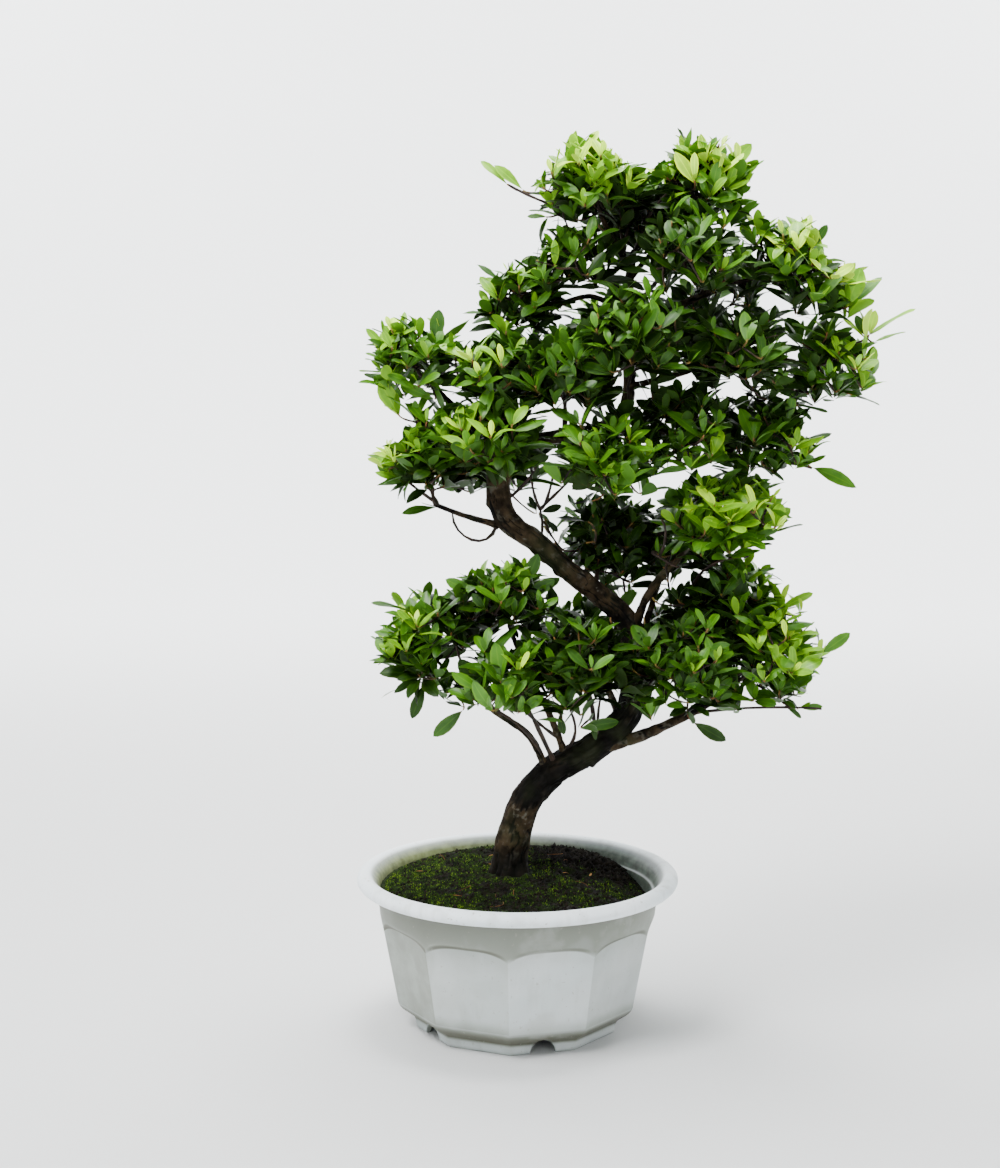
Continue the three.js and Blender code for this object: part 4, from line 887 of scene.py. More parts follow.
        [606, 708, 8], [607, 682, 5], [583, 250, 5], [588, 266, 6], [600, 291, 7], [570, 297, 6],
        [507, 305, 6], [521, 293, 6], [565, 308, 6], [572, 323, 8], [655, 273, 6], [712, 232, 6],
        [699, 246, 5], [720, 277, 6], [740, 295, 7], [731, 314, 9], [727, 334, 6], [768, 298, 9],
        [798, 353, 9], [663, 350, 5], [628, 377, 8], [608, 383, 6], [620, 424, 6],
    ],
    # pixels that a twig's tip stays clear of an opening of at least the next size, and that a leaf may
    # reach in
    "edgeGap": 10, "edgeSize": 8, "leafGap": 3.5,
    # where the leaves are painted bright, as light with young growth, or with a minus sign in painted deep
    # shade: pixels, radius, weight
    "paintedLightSpots": [
        [575, 160, 45, 0.33], [705, 155, 50, 0.42], [620, 172, 40, 0.28], [500, 170, 30, 0.40],
        [735, 215, 30, 0.10], [790, 235, 40, 0.37], [845, 275, 35, 0.44], [850, 340, 30, 0.25],
        [885, 320, 40, 0.30], [520, 285, 30, 0.20], [540, 340, 28, 0.25], [575, 317, 15, 0.15],
        [690, 245, 40, -0.34], [712, 312, 18, 0.20], [400, 330, 35, 0.26], [465, 360, 25, 0.20],
        [400, 395, 25, 0.20], [455, 420, 30, 0.29], [395, 455, 30, 0.29], [490, 430, 25, 0.20],
        [570, 455, 25, 0.25], [625, 455, 30, 0.20], [670, 455, 25, 0.10], [705, 478, 25, 0.40],
        [670, 525, 24, 0.40], [725, 525, 45, 0.37], [780, 515, 25, 0.25], [460, 580, 25, 0.30],
        [525, 580, 22, 0.25], [400, 620, 30, 0.30], [482, 668, 34, -0.26], [525, 662, 24, 0.26],
        [640, 625, 20, 0.30], [745, 680, 25, 0.35], [780, 590, 40, 0.35], [800, 650, 35, 0.30],
        [810, 705, 20, 0.10], [830, 465, 30, 0.30], [612, 250, 55, -0.45], [560, 385, 45, -0.28],
        [670, 350, 60, -0.25], [760, 340, 60, -0.30], [680, 405, 55, -0.30], [450, 480, 40, -0.25],
        [540, 500, 60, -0.30], [640, 575, 60, -0.40], [565, 632, 42, -0.35], [690, 632, 55, -0.30],
        [600, 690, 60, -0.30], [440, 612, 28, -0.30], [430, 672, 28, -0.28], [410, 365, 24, -0.25],
        [515, 320, 15, -0.15], [490, 612, 32, -0.35], [640, 250, 30, -0.20],
    ],
}


# How far a mass reaches in a direction: the ellipsoid's 1 / |d / half sizes|
def reachAlong(mass, direction):
    return 1 / np.linalg.norm(direction / mass["reach"], axis=-1)


# Where each mass's stem runs, as in the CAD: from its bough's tip, its seat in the trunk or the
# trunk's tip towards the centre
def prepareMasses():
    masses = []
    for i, row in enumerate(crown["masses"].values()):
        centre, reach, carrier, twigCount = row[:4]
        extra = row[4] if len(row) > 4 else {}
        centre, seat = np.array(centre, float), extra.get("seat")
        if seat:
            start = np.array(seat, float)
        elif carrier in boughs["knots"]:
            start = np.array(boughs["knots"][carrier][0][-1], float)
        else:
            start = np.array(trunk["knots"][-1][:3], float)
        heart = mix(start, centre, crown["stemFromTrunk"] if seat else crown["stemFromBough"])
        bend = mix(start, heart, 0.5)
        if seat:
            bend[2] += np.linalg.norm(heart - start) * crown["stemLift"]
        masses.append({
            "seed": crown["firstSeed"] + i, "centre": centre, "reach": np.array(reach, float),
            "twigCount": twigCount, "start": start, "bend": bend, "heart": heart,
            "stemRadius": crown["trunkStemRadius"] if seat else crown["stemRadius"],
        })
    return masses


# The point at t on a cubic: (1-t)^3 a + 3 (1-t)^2 t b + 3 (1-t) t^2 c + t^3 d
def cubicPoint(curve, t):
    a, b, c, d = curve
    return (1 - t) ** 3 * a + 3 * (1 - t) ** 2 * t * b + 3 * (1 - t) * t ** 2 * c + t ** 3 * d


# Its slope there: 3 (1-t)^2 (b-a) + 6 (1-t) t (c-b) + 3 t^2 (d-c)
def cubicSlope(curve, t):
    a, b, c, d = curve
    return 3 * (1 - t) ** 2 * (b - a) + 6 * (1 - t) * t * (c - b) + 3 * t ** 2 * (d - c)


# Points and directions along a twig that finer ones can leave from
def samplePath(curve, count):
    t = np.linspace(0.15, 1, count)[:, None]
    return cubicPoint(curve, t), unit(cubicSlope(curve, t))


# The twig from a fork to a tip: it leaves along its parent and ends along its own axis
def twigCurve(fork, parentAlong, tip, axis):
    length = np.linalg.norm(tip - fork)
    return fork, fork + parentAlong * length * 0.30, tip - axis * length * 0.34, tip


# Directions on a golden-angle spiral: height falls evenly as the turn grows
def spiral(count, phase, top, span):
    i = np.arange(count)
    height = top - span * (i + 0.5) / count
    turn = phase + i * goldenAngle
    flat = np.sqrt(1 - height ** 2)
    return np.stack([flat * np.cos(turn), flat * np.sin(turn), height], axis=-1)


# How far points lie inside the openings, in pixels: the most of r - distance to a circle's middle
def openingDepth(points, least=0):
    seen = inPicture(points)
    circles = np.array([row for row in crown["openings"] if row[2] >= least], float)
    away = np.linalg.norm(seen[..., None, :] - circles[:, :2], axis=-1)
    return np.max(circles[:, 2] - away, axis=-1)


# The furthest point between the heart and the tip that stays clear of the openings, or none
def pulledIn(heart, tip):
    line = mix(heart, tip, np.linspace(1, 0.35, 14)[:, None])
    clear = openingDepth(line, crown["edgeSize"]) < -crown["edgeGap"]
    return line[np.argmax(clear)] if clear.any() else None


# One mass by the CAD's rule, carried to finer twigs: a stem and main twigs as there, then fine
# twigs, the nearest first, that end in a rosette of leaves. Each leaves the wood with the least
# gap (1.75 - 0.75 cos a), where a is the angle from the wood's own way, and 40 more under 7 mm.
def growMass(mass, random, twigs, rosettes):
    start, heart, centre = mass["start"], mass["heart"], mass["centre"]
    kink = (np.array([random(), random(), random()]) - 0.5) * np.linalg.norm(heart - start) * 0.30
    stem = (start, mix(start, mass["bend"], 0.7) + kink, mix(mass["bend"], heart, 0.5) - kink * 0.6, heart)
    twigs.append((stem, mass["stemRadius"]))
    places, alongs = samplePath(stem, 9)
    phase = random() * 2 * math.pi
    for direction in spiral(mass["twigCount"], phase, *crown["mainSpiral"]):
        tip = centre + direction * reachAlong(mass, direction) * mix(*crown["mainShell"], random())
        fork = stem[3] if random() < 0.5 else mix(stem[2], stem[3], 0.6)
        curve = twigCurve(fork, unit(heart - mass["bend"]), tip, unit(tip - fork + [0, 0, 8]))
        twigs.append((curve, crown["mainRadius"]))
        here, ahead = samplePath(curve, 7)
        places, alongs = np.vstack([places, here]), np.vstack([alongs, ahead])
    size = np.prod(mass["reach"]) ** (1 / 3) / crown["usualReach"]
    count = int(round(crown["tipsPerMass"] * size ** 2))
    targets = []
    for direction in spiral(count, phase + 1.9, *crown["fineSpiral"]):
        share = mix(*crown["shell"], random() ** 0.55)
        tip = centre + direction * reachAlong(mass, direction) * share
        axis = unit(direction * mix(0.25, 0.75, random()) + [0, 0, mix(0.65, 1.2, random())])
        tip = pulledIn(heart, tip)
        if tip is not None:
            targets.append((tip, axis, None))
    for leaf in mass["outline"]:
        targets.append((leaf["foot"], unit(leaf["tip"] - leaf["foot"]), leaf))
    for tip in mass["infill"]:
        axis = unit(unit(tip - heart) * 0.5 + [0, 0, 0.9])
        targets.append((tip - axis * crown["leafLength"] * 0.35, axis, None))
    targets.sort(key=lambda row: np.linalg.norm(row[0] - heart))
    for tip, axis, leaf in targets:
        gap = np.linalg.norm(tip - places, axis=1)
        ahead = np.sum((tip - places) * alongs, axis=1) / np.maximum(gap, 1e-6)
        tooNear = gap < 7
        best = np.argmin(gap * (1.75 - 0.75 * ahead) + 40 * tooNear)
        curve = twigCurve(places[best], alongs[best], tip, axis)
        twigs.append((curve, crown["fineRadius"]))
        here, forward = samplePath(curve, 5)
        places, alongs = np.vstack([places, here[:3]]), np.vstack([alongs, forward[:3]])
        rosettes.append({"tip": tip, "axis": axis, "curve": curve, "leaf": leaf})


# A rosette's light, painted into its leaves' tones: its rank by the mean over directions to the sky of
# exp(-n / 1.6), where n rosettes stand in a rod of that direction, and w exp(-(d / r)^2) for each spot of
# painted light, or of painted shade where w is negative, less towards the back
def lightRosettes(rosettes):
    tips = np.array([r["tip"] for r in rosettes])
    away = tips[None] - tips[:, None]
    total = np.zeros(len(tips))
    ways = spiral(*crown["skySpiral"])
    near, far, radius = crown["shading"]
    for way in ways:
        ahead = away @ way
        aside = np.sqrt(np.maximum(np.sum(away ** 2, axis=2) - ahead ** 2, 0))
        count = np.sum((ahead > near) & (ahead < far) & (aside < radius), axis=1)
        total += np.exp(-count / 1.6) / len(ways)
    light = total.argsort().argsort() / len(tips)
    seen = inPicture(tips)
    end, fade = crown["spotFade"]
    front = np.clip((end - tips[:, 1]) / fade, 0, 1)
    for x, y, radius, weight in crown["paintedLightSpots"]:
        spot = np.exp(-(np.linalg.norm(seen - [x, y], axis=1) / radius) ** 2)
        light = light + weight * spot * front
    for r, value in zip(rosettes, light):
        r["light"] = value


# A leaf's row: its root, direction and side, three numbers each, and then these
leafValues = ["length", "width", "fold", "bend", "sway", "light", "young", "chance", "drawn"]


def rootOf(rows):
    return rows[:, 0:3]


def alongOf(rows):
    return rows[:, 3:6]


def sideOf(rows):
    return rows[:, 6:9]


def valueOf(rows, name):
    return rows[:, 9 + leafValues.index(name)]


# Leaves of every rosette, a row each: the inner ones young, small and upright. A shoot that carries
# a leaf of the outline, drawn where the photograph has it, has only a few more, and that leaf turns
# as much of its face to the viewer as shows: side = s cos b + view sin b, with s across both the
# leaf and the view.
def makeLeafRows(rosettes, random):
    rows = []
    view = unit(np.array([0, -1.0, 0.1]))
    for r in rosettes:
        axis, tip, leaf = r["axis"], r["tip"], r["leaf"]
        guide = np.array([1.0, 0, 0]) if abs(axis[2]) > 0.9 else np.array([0, 0, 1.0])
        u = unit(np.cross(axis, guide))
        v = np.cross(axis, u)
        count = 2 + int(random() * 2.6) if leaf else 6 + int(random() * 4.4)
        phase = random() * 2 * math.pi
        vigour = mix(0.70, 1.10, random())
        spread = mix(0.78, 1.12, random())

        def addLeaf(root, turn, opening, size, young):
            out = u * math.cos(turn) + v * math.sin(turn)
            along = axis * math.cos(opening) + out * math.sin(opening)
            side = np.cross(axis, out)
            upper = np.cross(along, side)
            roll = (random() - 0.5) * 0.7
            rows.append(np.concatenate([
                root + out * 0.35, along, side * math.cos(roll) + upper * math.sin(roll),
                [crown["leafLength"] * size, crown["leafWidth"] * mix(0.84, 1.16, random()),
                 mix(-0.20, 0.36, random()), mix(0.0, 0.75, random()), (random() - 0.5) * 0.5,
                 r["light"], young, random(), 0]]))

        for j in range(count):
            share = j / max(count - 1, 1)
            opening = math.radians(mix(14, 63, share ** 0.8) * spread + 16 * (random() - 0.5))
            size = mix(0.44, 1.0, min(1, share * 1.6) ** 0.8) * mix(0.80, 1.20, random()) * vigour
            addLeaf(tip - axis * (0.4 + 0.7 * j), phase + j * goldenAngle, opening, size, 1 - share)
        length = np.linalg.norm(r["curve"][3] - r["curve"][0])
        for j in range(2 + int(random() * 2.9)):
            t = 1 - (7 + 5.5 * j + 3 * random()) / max(length, 12)
            if t < 0.25:
                break
            root = cubicPoint(r["curve"], t)
            opening = math.radians(mix(50, 96, random()))
            addLeaf(root, phase + 2.0 + j * goldenAngle, opening, mix(0.42, 0.86, random()), 0.0)
        if leaf:
            along = leaf["tip"] - tip
            length = np.linalg.norm(along)
            across = unit(np.cross(view, along))
            wide = max(leaf["width"], crown["leafWidth"] * 0.9)
            tilt = math.acos(min(leaf["width"] / wide, 1)) * (-1 if across[2] > 0 else 1)
            side = across * math.cos(tilt) + view * math.sin(tilt)
            rows.append(np.concatenate([tip, along / length, side, [
                length, wide, 0.15, 0.12, (random() - 0.5) * 0.3, leaf["tone"], 0, 0.5, 1]]))
    return np.array(rows)


# Distance from points to the trunk and boughs, taken as chains of tapering rods
def limbDistance(points):
    best = np.full(len(points), 1e9)
    chains = [np.array(trunk["knots"], float)]
    for knots, startRadius, tipRadius in boughs["knots"].values():
        chains.append(np.column_stack([knots, np.linspace(startRadius, tipRadius, len(knots))]))
    for chain in chains:
        for a, b in zip(chain[:-1], chain[1:]):
            rod = b[:3] - a[:3]
            t = np.clip((points - a[:3]) @ rod / (rod @ rod), 0, 1)
            near = np.linalg.norm(points - a[:3] - t[:, None] * rod, axis=1)
            best = np.minimum(best, near - mix(a[3], b[3], t))
    return best


# A leaf's rows from foot to tip, its points across each, from one margin to the other and back
# under the middle, and which face each lies on; and the power that shapes the blade
leafRows = np.array([0.0, 0.06, 0.20, 0.40, 0.60, 0.78, 0.92, 1.0])
leafRing = np.array([[-1, 0], [-0.5, 1], [0, 1], [0.5, 1], [1, 0], [0, -1]])
leafMargin = [0, 4]  # the places in the ring that lie on the margins
leafTaper = 0.74


# Along a leaf t runs from 0 to 1 and across it u from -1 to 1. With q the taper, its half width is
# h(t) = l w / 2 times t (1 - t)^q / peak - 0.12 (1 - t), or 0.08 if that is more. The blade folds
# up by |u| h sin(fold), turns down by the angle bend t^1.5, sways aside by 0.22 l sway t^2, has
# waves along its margins, and its faces stand apart by a thickness that falls to nothing there.
def makeLeaves(rows):
    count = len(rows)
    root, along, side = rootOf(rows), unit(alongOf(rows)), unit(sideOf(rows))
    upper = unit(np.cross(along, side))
    side = np.cross(upper, along)
    length, width, fold, bend, sway = (valueOf(rows, name)[:, None, None] for name in leafValues[:5])
    t = leafRows[None, 1:-1, None]
    u, face = leafRing[None, None, :, 0], leafRing[None, None, :, 1]
    peak = (leafTaper / (1 + leafTaper)) ** leafTaper / (1 + leafTaper)
    half = length * width / 2 * np.maximum(t * (1 - t) ** leafTaper / peak - 0.12 * (1 - t), 0.08)
    thick = crown["leafThickness"] / 2 * face * (1 - 0.3 * np.abs(u)) * (0.55 + 0.45 * np.sin(math.pi * t))
    turnDown = bend * t ** 1.5
    forward = length * t * (1 - turnDown ** 2 / 8)
    down = length * t * turnDown / 2
    across = u * half * np.cos(fold * 0.9) + length * sway * t ** 2 * 0.22
    wave = 0.02 * length * np.sin(7 * t + 9 * sway) * u * np.abs(u)
    raised = np.abs(u) * half * np.sin(fold) - down + thick + wave
    grid = (root[:, None, None] + along[:, None, None] * forward[..., None]
            + side[:, None, None] * across[..., None] + upper[:, None, None] * raised[..., None])
    turnTip = bend[:, 0]
    tip = root + along * length[:, 0] * (1 - turnTip ** 2 / 8) - upper * length[:, 0] * turnTip / 2
    tip = tip + side * length[:, 0] * sway[:, 0] * 0.22
    points = np.concatenate([root[:, None], grid.reshape(count, -1, 3), tip[:, None]], axis=1)
    rings, columns = len(leafRows) - 2, len(leafRing)
    perLeaf = rings * columns + 2
    j = np.arange(columns)
    k = (j + 1) % columns
    foot = np.stack([np.zeros(columns, int), 1 + k, 1 + j], axis=-1)
    top = 1 + (rings - 1) * columns
    head = np.stack([top + j, top + k, np.full(columns, perLeaf - 1)], axis=-1)
    quads = ringFaces(rings, columns) + 1
    shift = (np.arange(count) * perLeaf)[:, None, None]
    aside = np.tile(np.abs(leafRing[:, 0]), rings)
    under = np.tile((1 - leafRing[:, 1]) / 2, rings)
    span = np.repeat(leafRows[1:-1], columns)
    return {
        "points": points.reshape(-1, 3),
        "quads": (quads[None] + shift).reshape(-1, 4),
        "tris": (np.vstack([foot, head])[None] + shift).reshape(-1, 3),
        "aside": np.tile(np.concatenate([[0.0], aside, [0.6]]), count),
        "under": np.tile(np.concatenate([[0.5], under, [0.5]]), count),
        "span": np.tile(np.concatenate([[0.0], span, [1.0]]), count),
    }


# A leaf's margin is sharp: both ends of the edge lie in its margins' columns or at a pole
def leafMargins(ends):
    columns = len(leafRing)
    perLeaf = (len(leafRows) - 2) * columns + 2
    local = ends % perLeaf
    column = (local - 1) % columns
    pole = (local == 0) | (local == perLeaf - 1)
    return (pole | np.isin(column, leafMargin)).all(axis=1)


# All twigs at once: the points of each cubic, a radius that falls from fork to tip as t^0.8 with
# knuckles 1 + 0.16 sin(17 t), and a round section with closed ends. The attribute says how near
# the tip a point is, and only on fine twigs.
def makeTwigs(curves, radii, sides=6, stations=9):
    curves, radii = np.array(curves, float), np.array(radii, float)
    t = np.linspace(0, 1, stations)[None, :, None]
    cubic = [curves[:, k][:, None] for k in range(4)]
    place = cubicPoint(cubic, t)
    ahead = unit(cubicSlope(cubic, t) + 1e-9)
    chord = unit(curves[:, 3] - curves[:, 0])
    guide = np.where(np.abs(chord[:, 2:]) > 0.75, [[1.0, 0.2, 0.0]], [[0.1, 0.2, 1.0]])
    n = unit(np.cross(ahead, guide[:, None]))
    m = np.cross(ahead, n)
    angle = np.linspace(0, 2 * math.pi, sides, endpoint=False)
    knuckle = 1 + 0.16 * np.sin(t * 17 + curves[:, 0, :1][:, None])
    radius = mix(radii[:, :1][:, None], radii[:, 1:][:, None], t ** 0.8) * knuckle
    out = n[:, :, None] * np.cos(angle)[:, None] + m[:, :, None] * np.sin(angle)[:, None]
    grid = place[:, :, None] + out * radius[:, :, None]
    count = len(curves)
    points = np.concatenate([grid.reshape(count, -1, 3), curves[:, :1], curves[:, 3:]], axis=1)
    sample = closedGrid(grid[0], curves[0, 0], curves[0, 3])
    shift = (np.arange(count) * (stations * sides + 2))[:, None, None]
    young = np.tile(np.concatenate([np.repeat(np.linspace(0, 1, stations), sides), [0, 1]]), count)
    fine = smoothStep(1.3, 0.7, radii[:, 0]) * smoothStep(0.4, 0.7, radii[:, 0])
    return {
        "points": points.reshape(-1, 3),
        "quads": (sample["quads"][None] + shift).reshape(-1, 4),
        "tris": (sample["tris"][None] + shift).reshape(-1, 3),
        "young": young * np.repeat(fine, stations * sides + 2),
    }


twigColours = {
    "old": [(0.010, 0.006, 0.004, 1), (0.034, 0.018, 0.010, 1)],
    "young": [(0.22, 0.085, 0.022, 1), (0.26, 0.19, 0.035, 1)],
}


# Reddish brown twigs that turn tan and green towards their tips
def makeTwigMaterial():
    material, tree, surface = newMaterial("twigBark", {"Roughness": 0.7, "Specular IOR Level": 0.35})
    place = objectPlace(tree)
    tint, grain = patches(tree, place, 160.0, 4.0, 0.5, 0.2)
    old = mixColours(tree, tint, *twigColours["old"])
    fresh = mixColours(tree, tint, *twigColours["young"])
    tipShare = softRanged(tree, attributeValue(tree, "young"), 0.45, 1.0)
    connect(tree, mixColours(tree, tipShare, old, fresh), surface, "Base Color")
    addBump(tree, grain, surface, 0.4, 0.0003)
    return material


leafTones = {  # lit and shaded copies of one leaf colour, painted light and shade with young leaves lighter: colour of the upper face, the least tone that takes it, and its gloss
    "leavesShade": [(0.006, 0.020, 0.001), -9.0, 0.12],
    "leavesDeep": [(0.013, 0.046, 0.001), 0.20, 0.18],
    "leavesDark": [(0.027, 0.098, 0.002), 0.38, 0.30],
    "leavesMid": [(0.060, 0.200, 0.002), 0.56, 0.40],
    "leavesLitFresh": [(0.180, 0.440, 0.003), 0.80, 0.42],
    "leavesLitLime": [(0.520, 0.870, 0.028), 1.01, 0.42],
}
stalkColour = (0.075, 0.036, 0.010, 1)


# A glossy leaf: its tone of painted light and shade in soft clouds, darker at its foot, with a reddish
# stalk, a pale midrib and yellower margins, and a matt pale underside
def makeLeafMaterial(name, tone, gloss):
    material, tree, surface = newMaterial(name, {"Roughness": 0.36, "Specular IOR Level": gloss})
    place = objectPlace(tree)
    span, aside = attributeValue(tree, "span"), attributeValue(tree, "aside")
    under = attributeValue(tree, "under")

    def shade(share, light=(0, 0, 0)):  # the tone times a share, with some light added
        return (*(value * factor + more for value, factor, more in zip(tone, share, light)), 1)

    cloud, grain = patches(tree, place, 90.0, 3.0, 0.5, 0.22)
    colour = mixColours(tree, cloud, shade((0.66, 0.72, 0.8)), shade((1.20, 1.15, 1.1)))
    foot = ranged(tree, span, 0.45, 0.0, 0.0, 0.6)
    colour = mixColours(tree, foot, colour, shade((0.50, 0.48, 0.5)))
    rib = softRanged(tree, aside, 0.16, 0.0, 0.0, 0.5)
    colour = mixColours(tree, rib, colour, shade((1.9, 1.5, 1.6), (0.010, 0.018, 0.003)))
    margin = softRanged(tree, aside, 0.55, 1.0, 0.0, 0.75)
    colour = mixColours(tree, margin, colour, shade((1.75, 1.35, 1), (0.012, 0.016, 0)))
    stalk = ranged(tree, span, 0.16, 0.03, 0.0, 0.8)
    colour = mixColours(tree, stalk, colour, stalkColour)
    lower = ranged(tree, under, 0.45, 0.75)
    pale = shade((0.85, 0.80, 1), (0.012, 0.022, 0.006))
    connect(tree, mixColours(tree, lower, colour, pale), surface, "Base Color")
    rough = mixValues(tree, cloud, 0.34, 0.48)
    connect(tree, mixValues(tree, lower, rough, 0.62), surface, "Roughness")
    addBump(tree, grain, surface, 0.2, 0.0005)
    return material


# The point at a share of the way along a chain of knots, which count as evenly spaced
def mixKnots(knots, share):
    knots = np.array(knots, float)
    k = min(int(share * (len(knots) - 1)), len(knots) - 2)
    return mix(knots[k], knots[k + 1], share * (len(knots) - 1) - k)


# Points along the middle of the trunk, the boughs and the twigs
def woodPoints(curves):
    points = []
    for knots in [trunk["knots"]] + [row[0] for row in boughs["knots"].values()]:
        knots = np.array(knots, float)[:, :3]
        points += [mixKnots(knots, t) for t in np.linspace(0.02, 0.98, 8 * len(knots))]
    for curve in curves:
        points += list(samplePath(curve, 8)[0])
    return np.array(points)


# The masses, each with the outline's leaves and the infill whose place is nearest to it
def readMasses():
    masses = prepareMasses()
    centres = np.array([mass["centre"] for mass in masses])
    reach = np.array([mass["reach"] for mass in masses])
    infill = np.array([behindPixel(*row) for row in crown["infill"]])
    leaves = [{"tip": behindPixel(*row[0:2], row[4]), "foot": behindPixel(*row[2:4], row[4]),
               "width": row[5], "tone": row[6]} for row in crown["outline"]]

    def holders(points):
        return np.argmin(np.linalg.norm((points[:, None] - centres) / reach, axis=2), axis=1)

    leafHolders, infillHolders = holders(np.array([leaf["foot"] for leaf in leaves])), holders(infill)
    for i, mass in enumerate(masses):
        mass["outline"] = [leaf for leaf, holder in zip(leaves, leafHolders) if holder == i]
        mass["infill"] = [tip for tip, holder in zip(infill, infillHolders) if holder == i]
    return masses, centres, reach


# The leaves that stay: within the masses' reach and out of the openings, or drawn, and clear of
# the limbs
def keptLeaves(rows, centres, reach):
    blade = alongOf(rows) * valueOf(rows, "length")[:, None]
    tips, middles = rootOf(rows) + blade, rootOf(rows) + blade * 0.5
    nearest = np.min(np.linalg.norm((tips[:, None] - centres) / reach, axis=2), axis=1)
    wide = sideOf(rows) * (valueOf(rows, "length") * valueOf(rows, "width") * 0.5)[:, None]
    outline = np.stack([middles, tips, middles + wide, middles - wide], axis=1)
    inside = nearest < crown["reachSlack"]
    inside &= openingDepth(outline).max(axis=1) < crown["leafGap"]
    clear = (limbDistance(middles) > 1.5) & (limbDistance(tips) > 0.5)
    return rows[(inside | (valueOf(rows, "drawn") > 0.5)) & clear]


# Leaves as one piece for each tone, the tones painting each shoot's light and shade and the youth of
# its leaves into their colour: a leaf goes to the last tone whose least value it reaches
def addLeaves(rows):
    shares = crown["toneShares"]
    tone = (valueOf(rows, "light") * shares[0] + valueOf(rows, "young") * shares[1]
            + (valueOf(rows, "chance") - 0.5) * shares[2] + crown["toneShift"])
    tone = np.where(valueOf(rows, "drawn") > 0.5, valueOf(rows, "light"), tone)
    which = np.searchsorted([least for _, least, _ in leafTones.values()], tone, side="right") - 1
    for k, (name, (tint, _, gloss)) in enumerate(leafTones.items()):
        material = makeLeafMaterial(name, tint, gloss)
        addPiece(name, makeLeaves(rows[which == k]), material, massNodes, leafMargins)


# Bare twigs and spurs. A bare twig is the cubic through its points at 0, 1/3, 2/3 and 1, and it
# starts in the nearest wood. A spur leaves a twig anywhere along it.
def addBareWood(curves, radii, random):
    leafyTwigs = len(curves)
    for knots in crown["bareTwigs"]:
        wood = woodPoints(curves)
        a, b, c, d = (mixKnots(knots, t) for t in (0, 1 / 3, 2 / 3, 1))
        a = wood[np.argmin(np.linalg.norm(wood - a, axis=1))]
        curves.append((a, (-5 * a + 18 * b - 9 * c + 2 * d) / 6, (2 * a - 9 * b + 18 * c - 5 * d) / 6, d))
        radii.append(crown["bareRadius"])
    for _ in range(crown["spurs"]):
        curve = curves[int(random() * leafyTwigs)]
        root = cubicPoint(curve, mix(0.2, 0.9, random()))
        ahead = unit(curve[3] - curve[0])
        way = unit(ahead + np.array([random() - 0.5, random() - 0.5, random() - 0.2]) * 2.2)
        end = root + way * mix(*crown["spurLength"], random())
        curves.append((root, mix(root, end, 0.33), mix(root, end, 0.66) + [0, 0, 0.8], end))
        radii.append(crown["spurRadius"])


# The whole crown: growth, light, leaves dealt out to the tones, twigs, bare twigs and spurs
def makeCrown():
    masses, centres, reach = readMasses()
    twigs, rosettes = [], []
    for mass in masses:
        growMass(mass, seededRandom(mass["seed"]), twigs, rosettes)
    lightRosettes(rosettes)
    random = seededRandom(crown["leafSeed"])
    grown = makeLeafRows(rosettes, random)
    rows = keptLeaves(grown, centres, reach)
    print("masses:", len(masses), "rosettes:", len(rosettes), "leaves:", len(rows), "of", len(grown))
    addLeaves(rows)
    curves, radii = [curve for curve, _ in twigs], [pair for _, pair in twigs]
    addBareWood(curves, radii, random)
    addPiece("fineTwigs", makeTwigs(curves, radii), makeTwigMaterial(), massNodes)


makeCrown()

soil = {
    "edge": 86, "edgeRadius": 83.3, "top": 93, "seatRadius": 17, "seat": [-4.5, 8],
    "lumpHeight": 1.1, "lumpWave": 7.5,
    "bank": [4.6, 1.31, 4], "dip": [11.5, 0.14, 36],  # how high or deep, its angle, and its power
    "rings": 190, "columns": 460, "meshRadius": 82.9,
    "wall": [[76, 79, 82, 84.2, 85, 86], [82.8, 83.0, 83.4, 83.7, 84.7, 85.6]],  # heights and radii
    "floor": [72.5, 0.96],
    "sunk": 0.5, "crumble": 0.7,  # the bare soil lies just below the moss
    "darkTufts": [60000, 5, 1.0, 1.6], "brightTufts": [30000, 6, 0.55, 3.4],
    "tuftHeight": [0.4, 1.2], "tuftWidth": 0.6, "tuftGap": 15,  # free of moss round the seat
    "granules": [3600, 3, 0.35, 1.5], "looseSoil": [1500, 4, 0.5, 2.6, [48, 52], [20, 16]],
    "granuleGap": 14.5, "rimGap": 1.5,
    "litter": 9, "litterSeed": 17, "rootlets": 10, "rootletSeed": 29, "rootletSpread": 14,
    "rootletsAt": [[22, 42], [-8, -40], [20, 30], [-30, -30], [40, 0], [-40, 20]],
    "rootletRadius": [0.24, 0.16],
}


# Share of the way from the soil's edge circle, radius R, to the seat circle, radius R - d round k,
# by the circle between them that passes through p: |p - s k| = R - s d
def moundShare(x, y):
    k, reach = np.array(soil["seat"], float), soil["edgeRadius"]
    d = reach - soil["seatRadius"]
    a = k @ k - d * d
    b = 2 * (reach * d - x * k[0] - y * k[1])
    c = x * x + y * y - reach * reach
    return np.clip((-b + np.sqrt(np.maximum(b * b - 4 * a * c, 0))) / (2 * a), 0, 1)


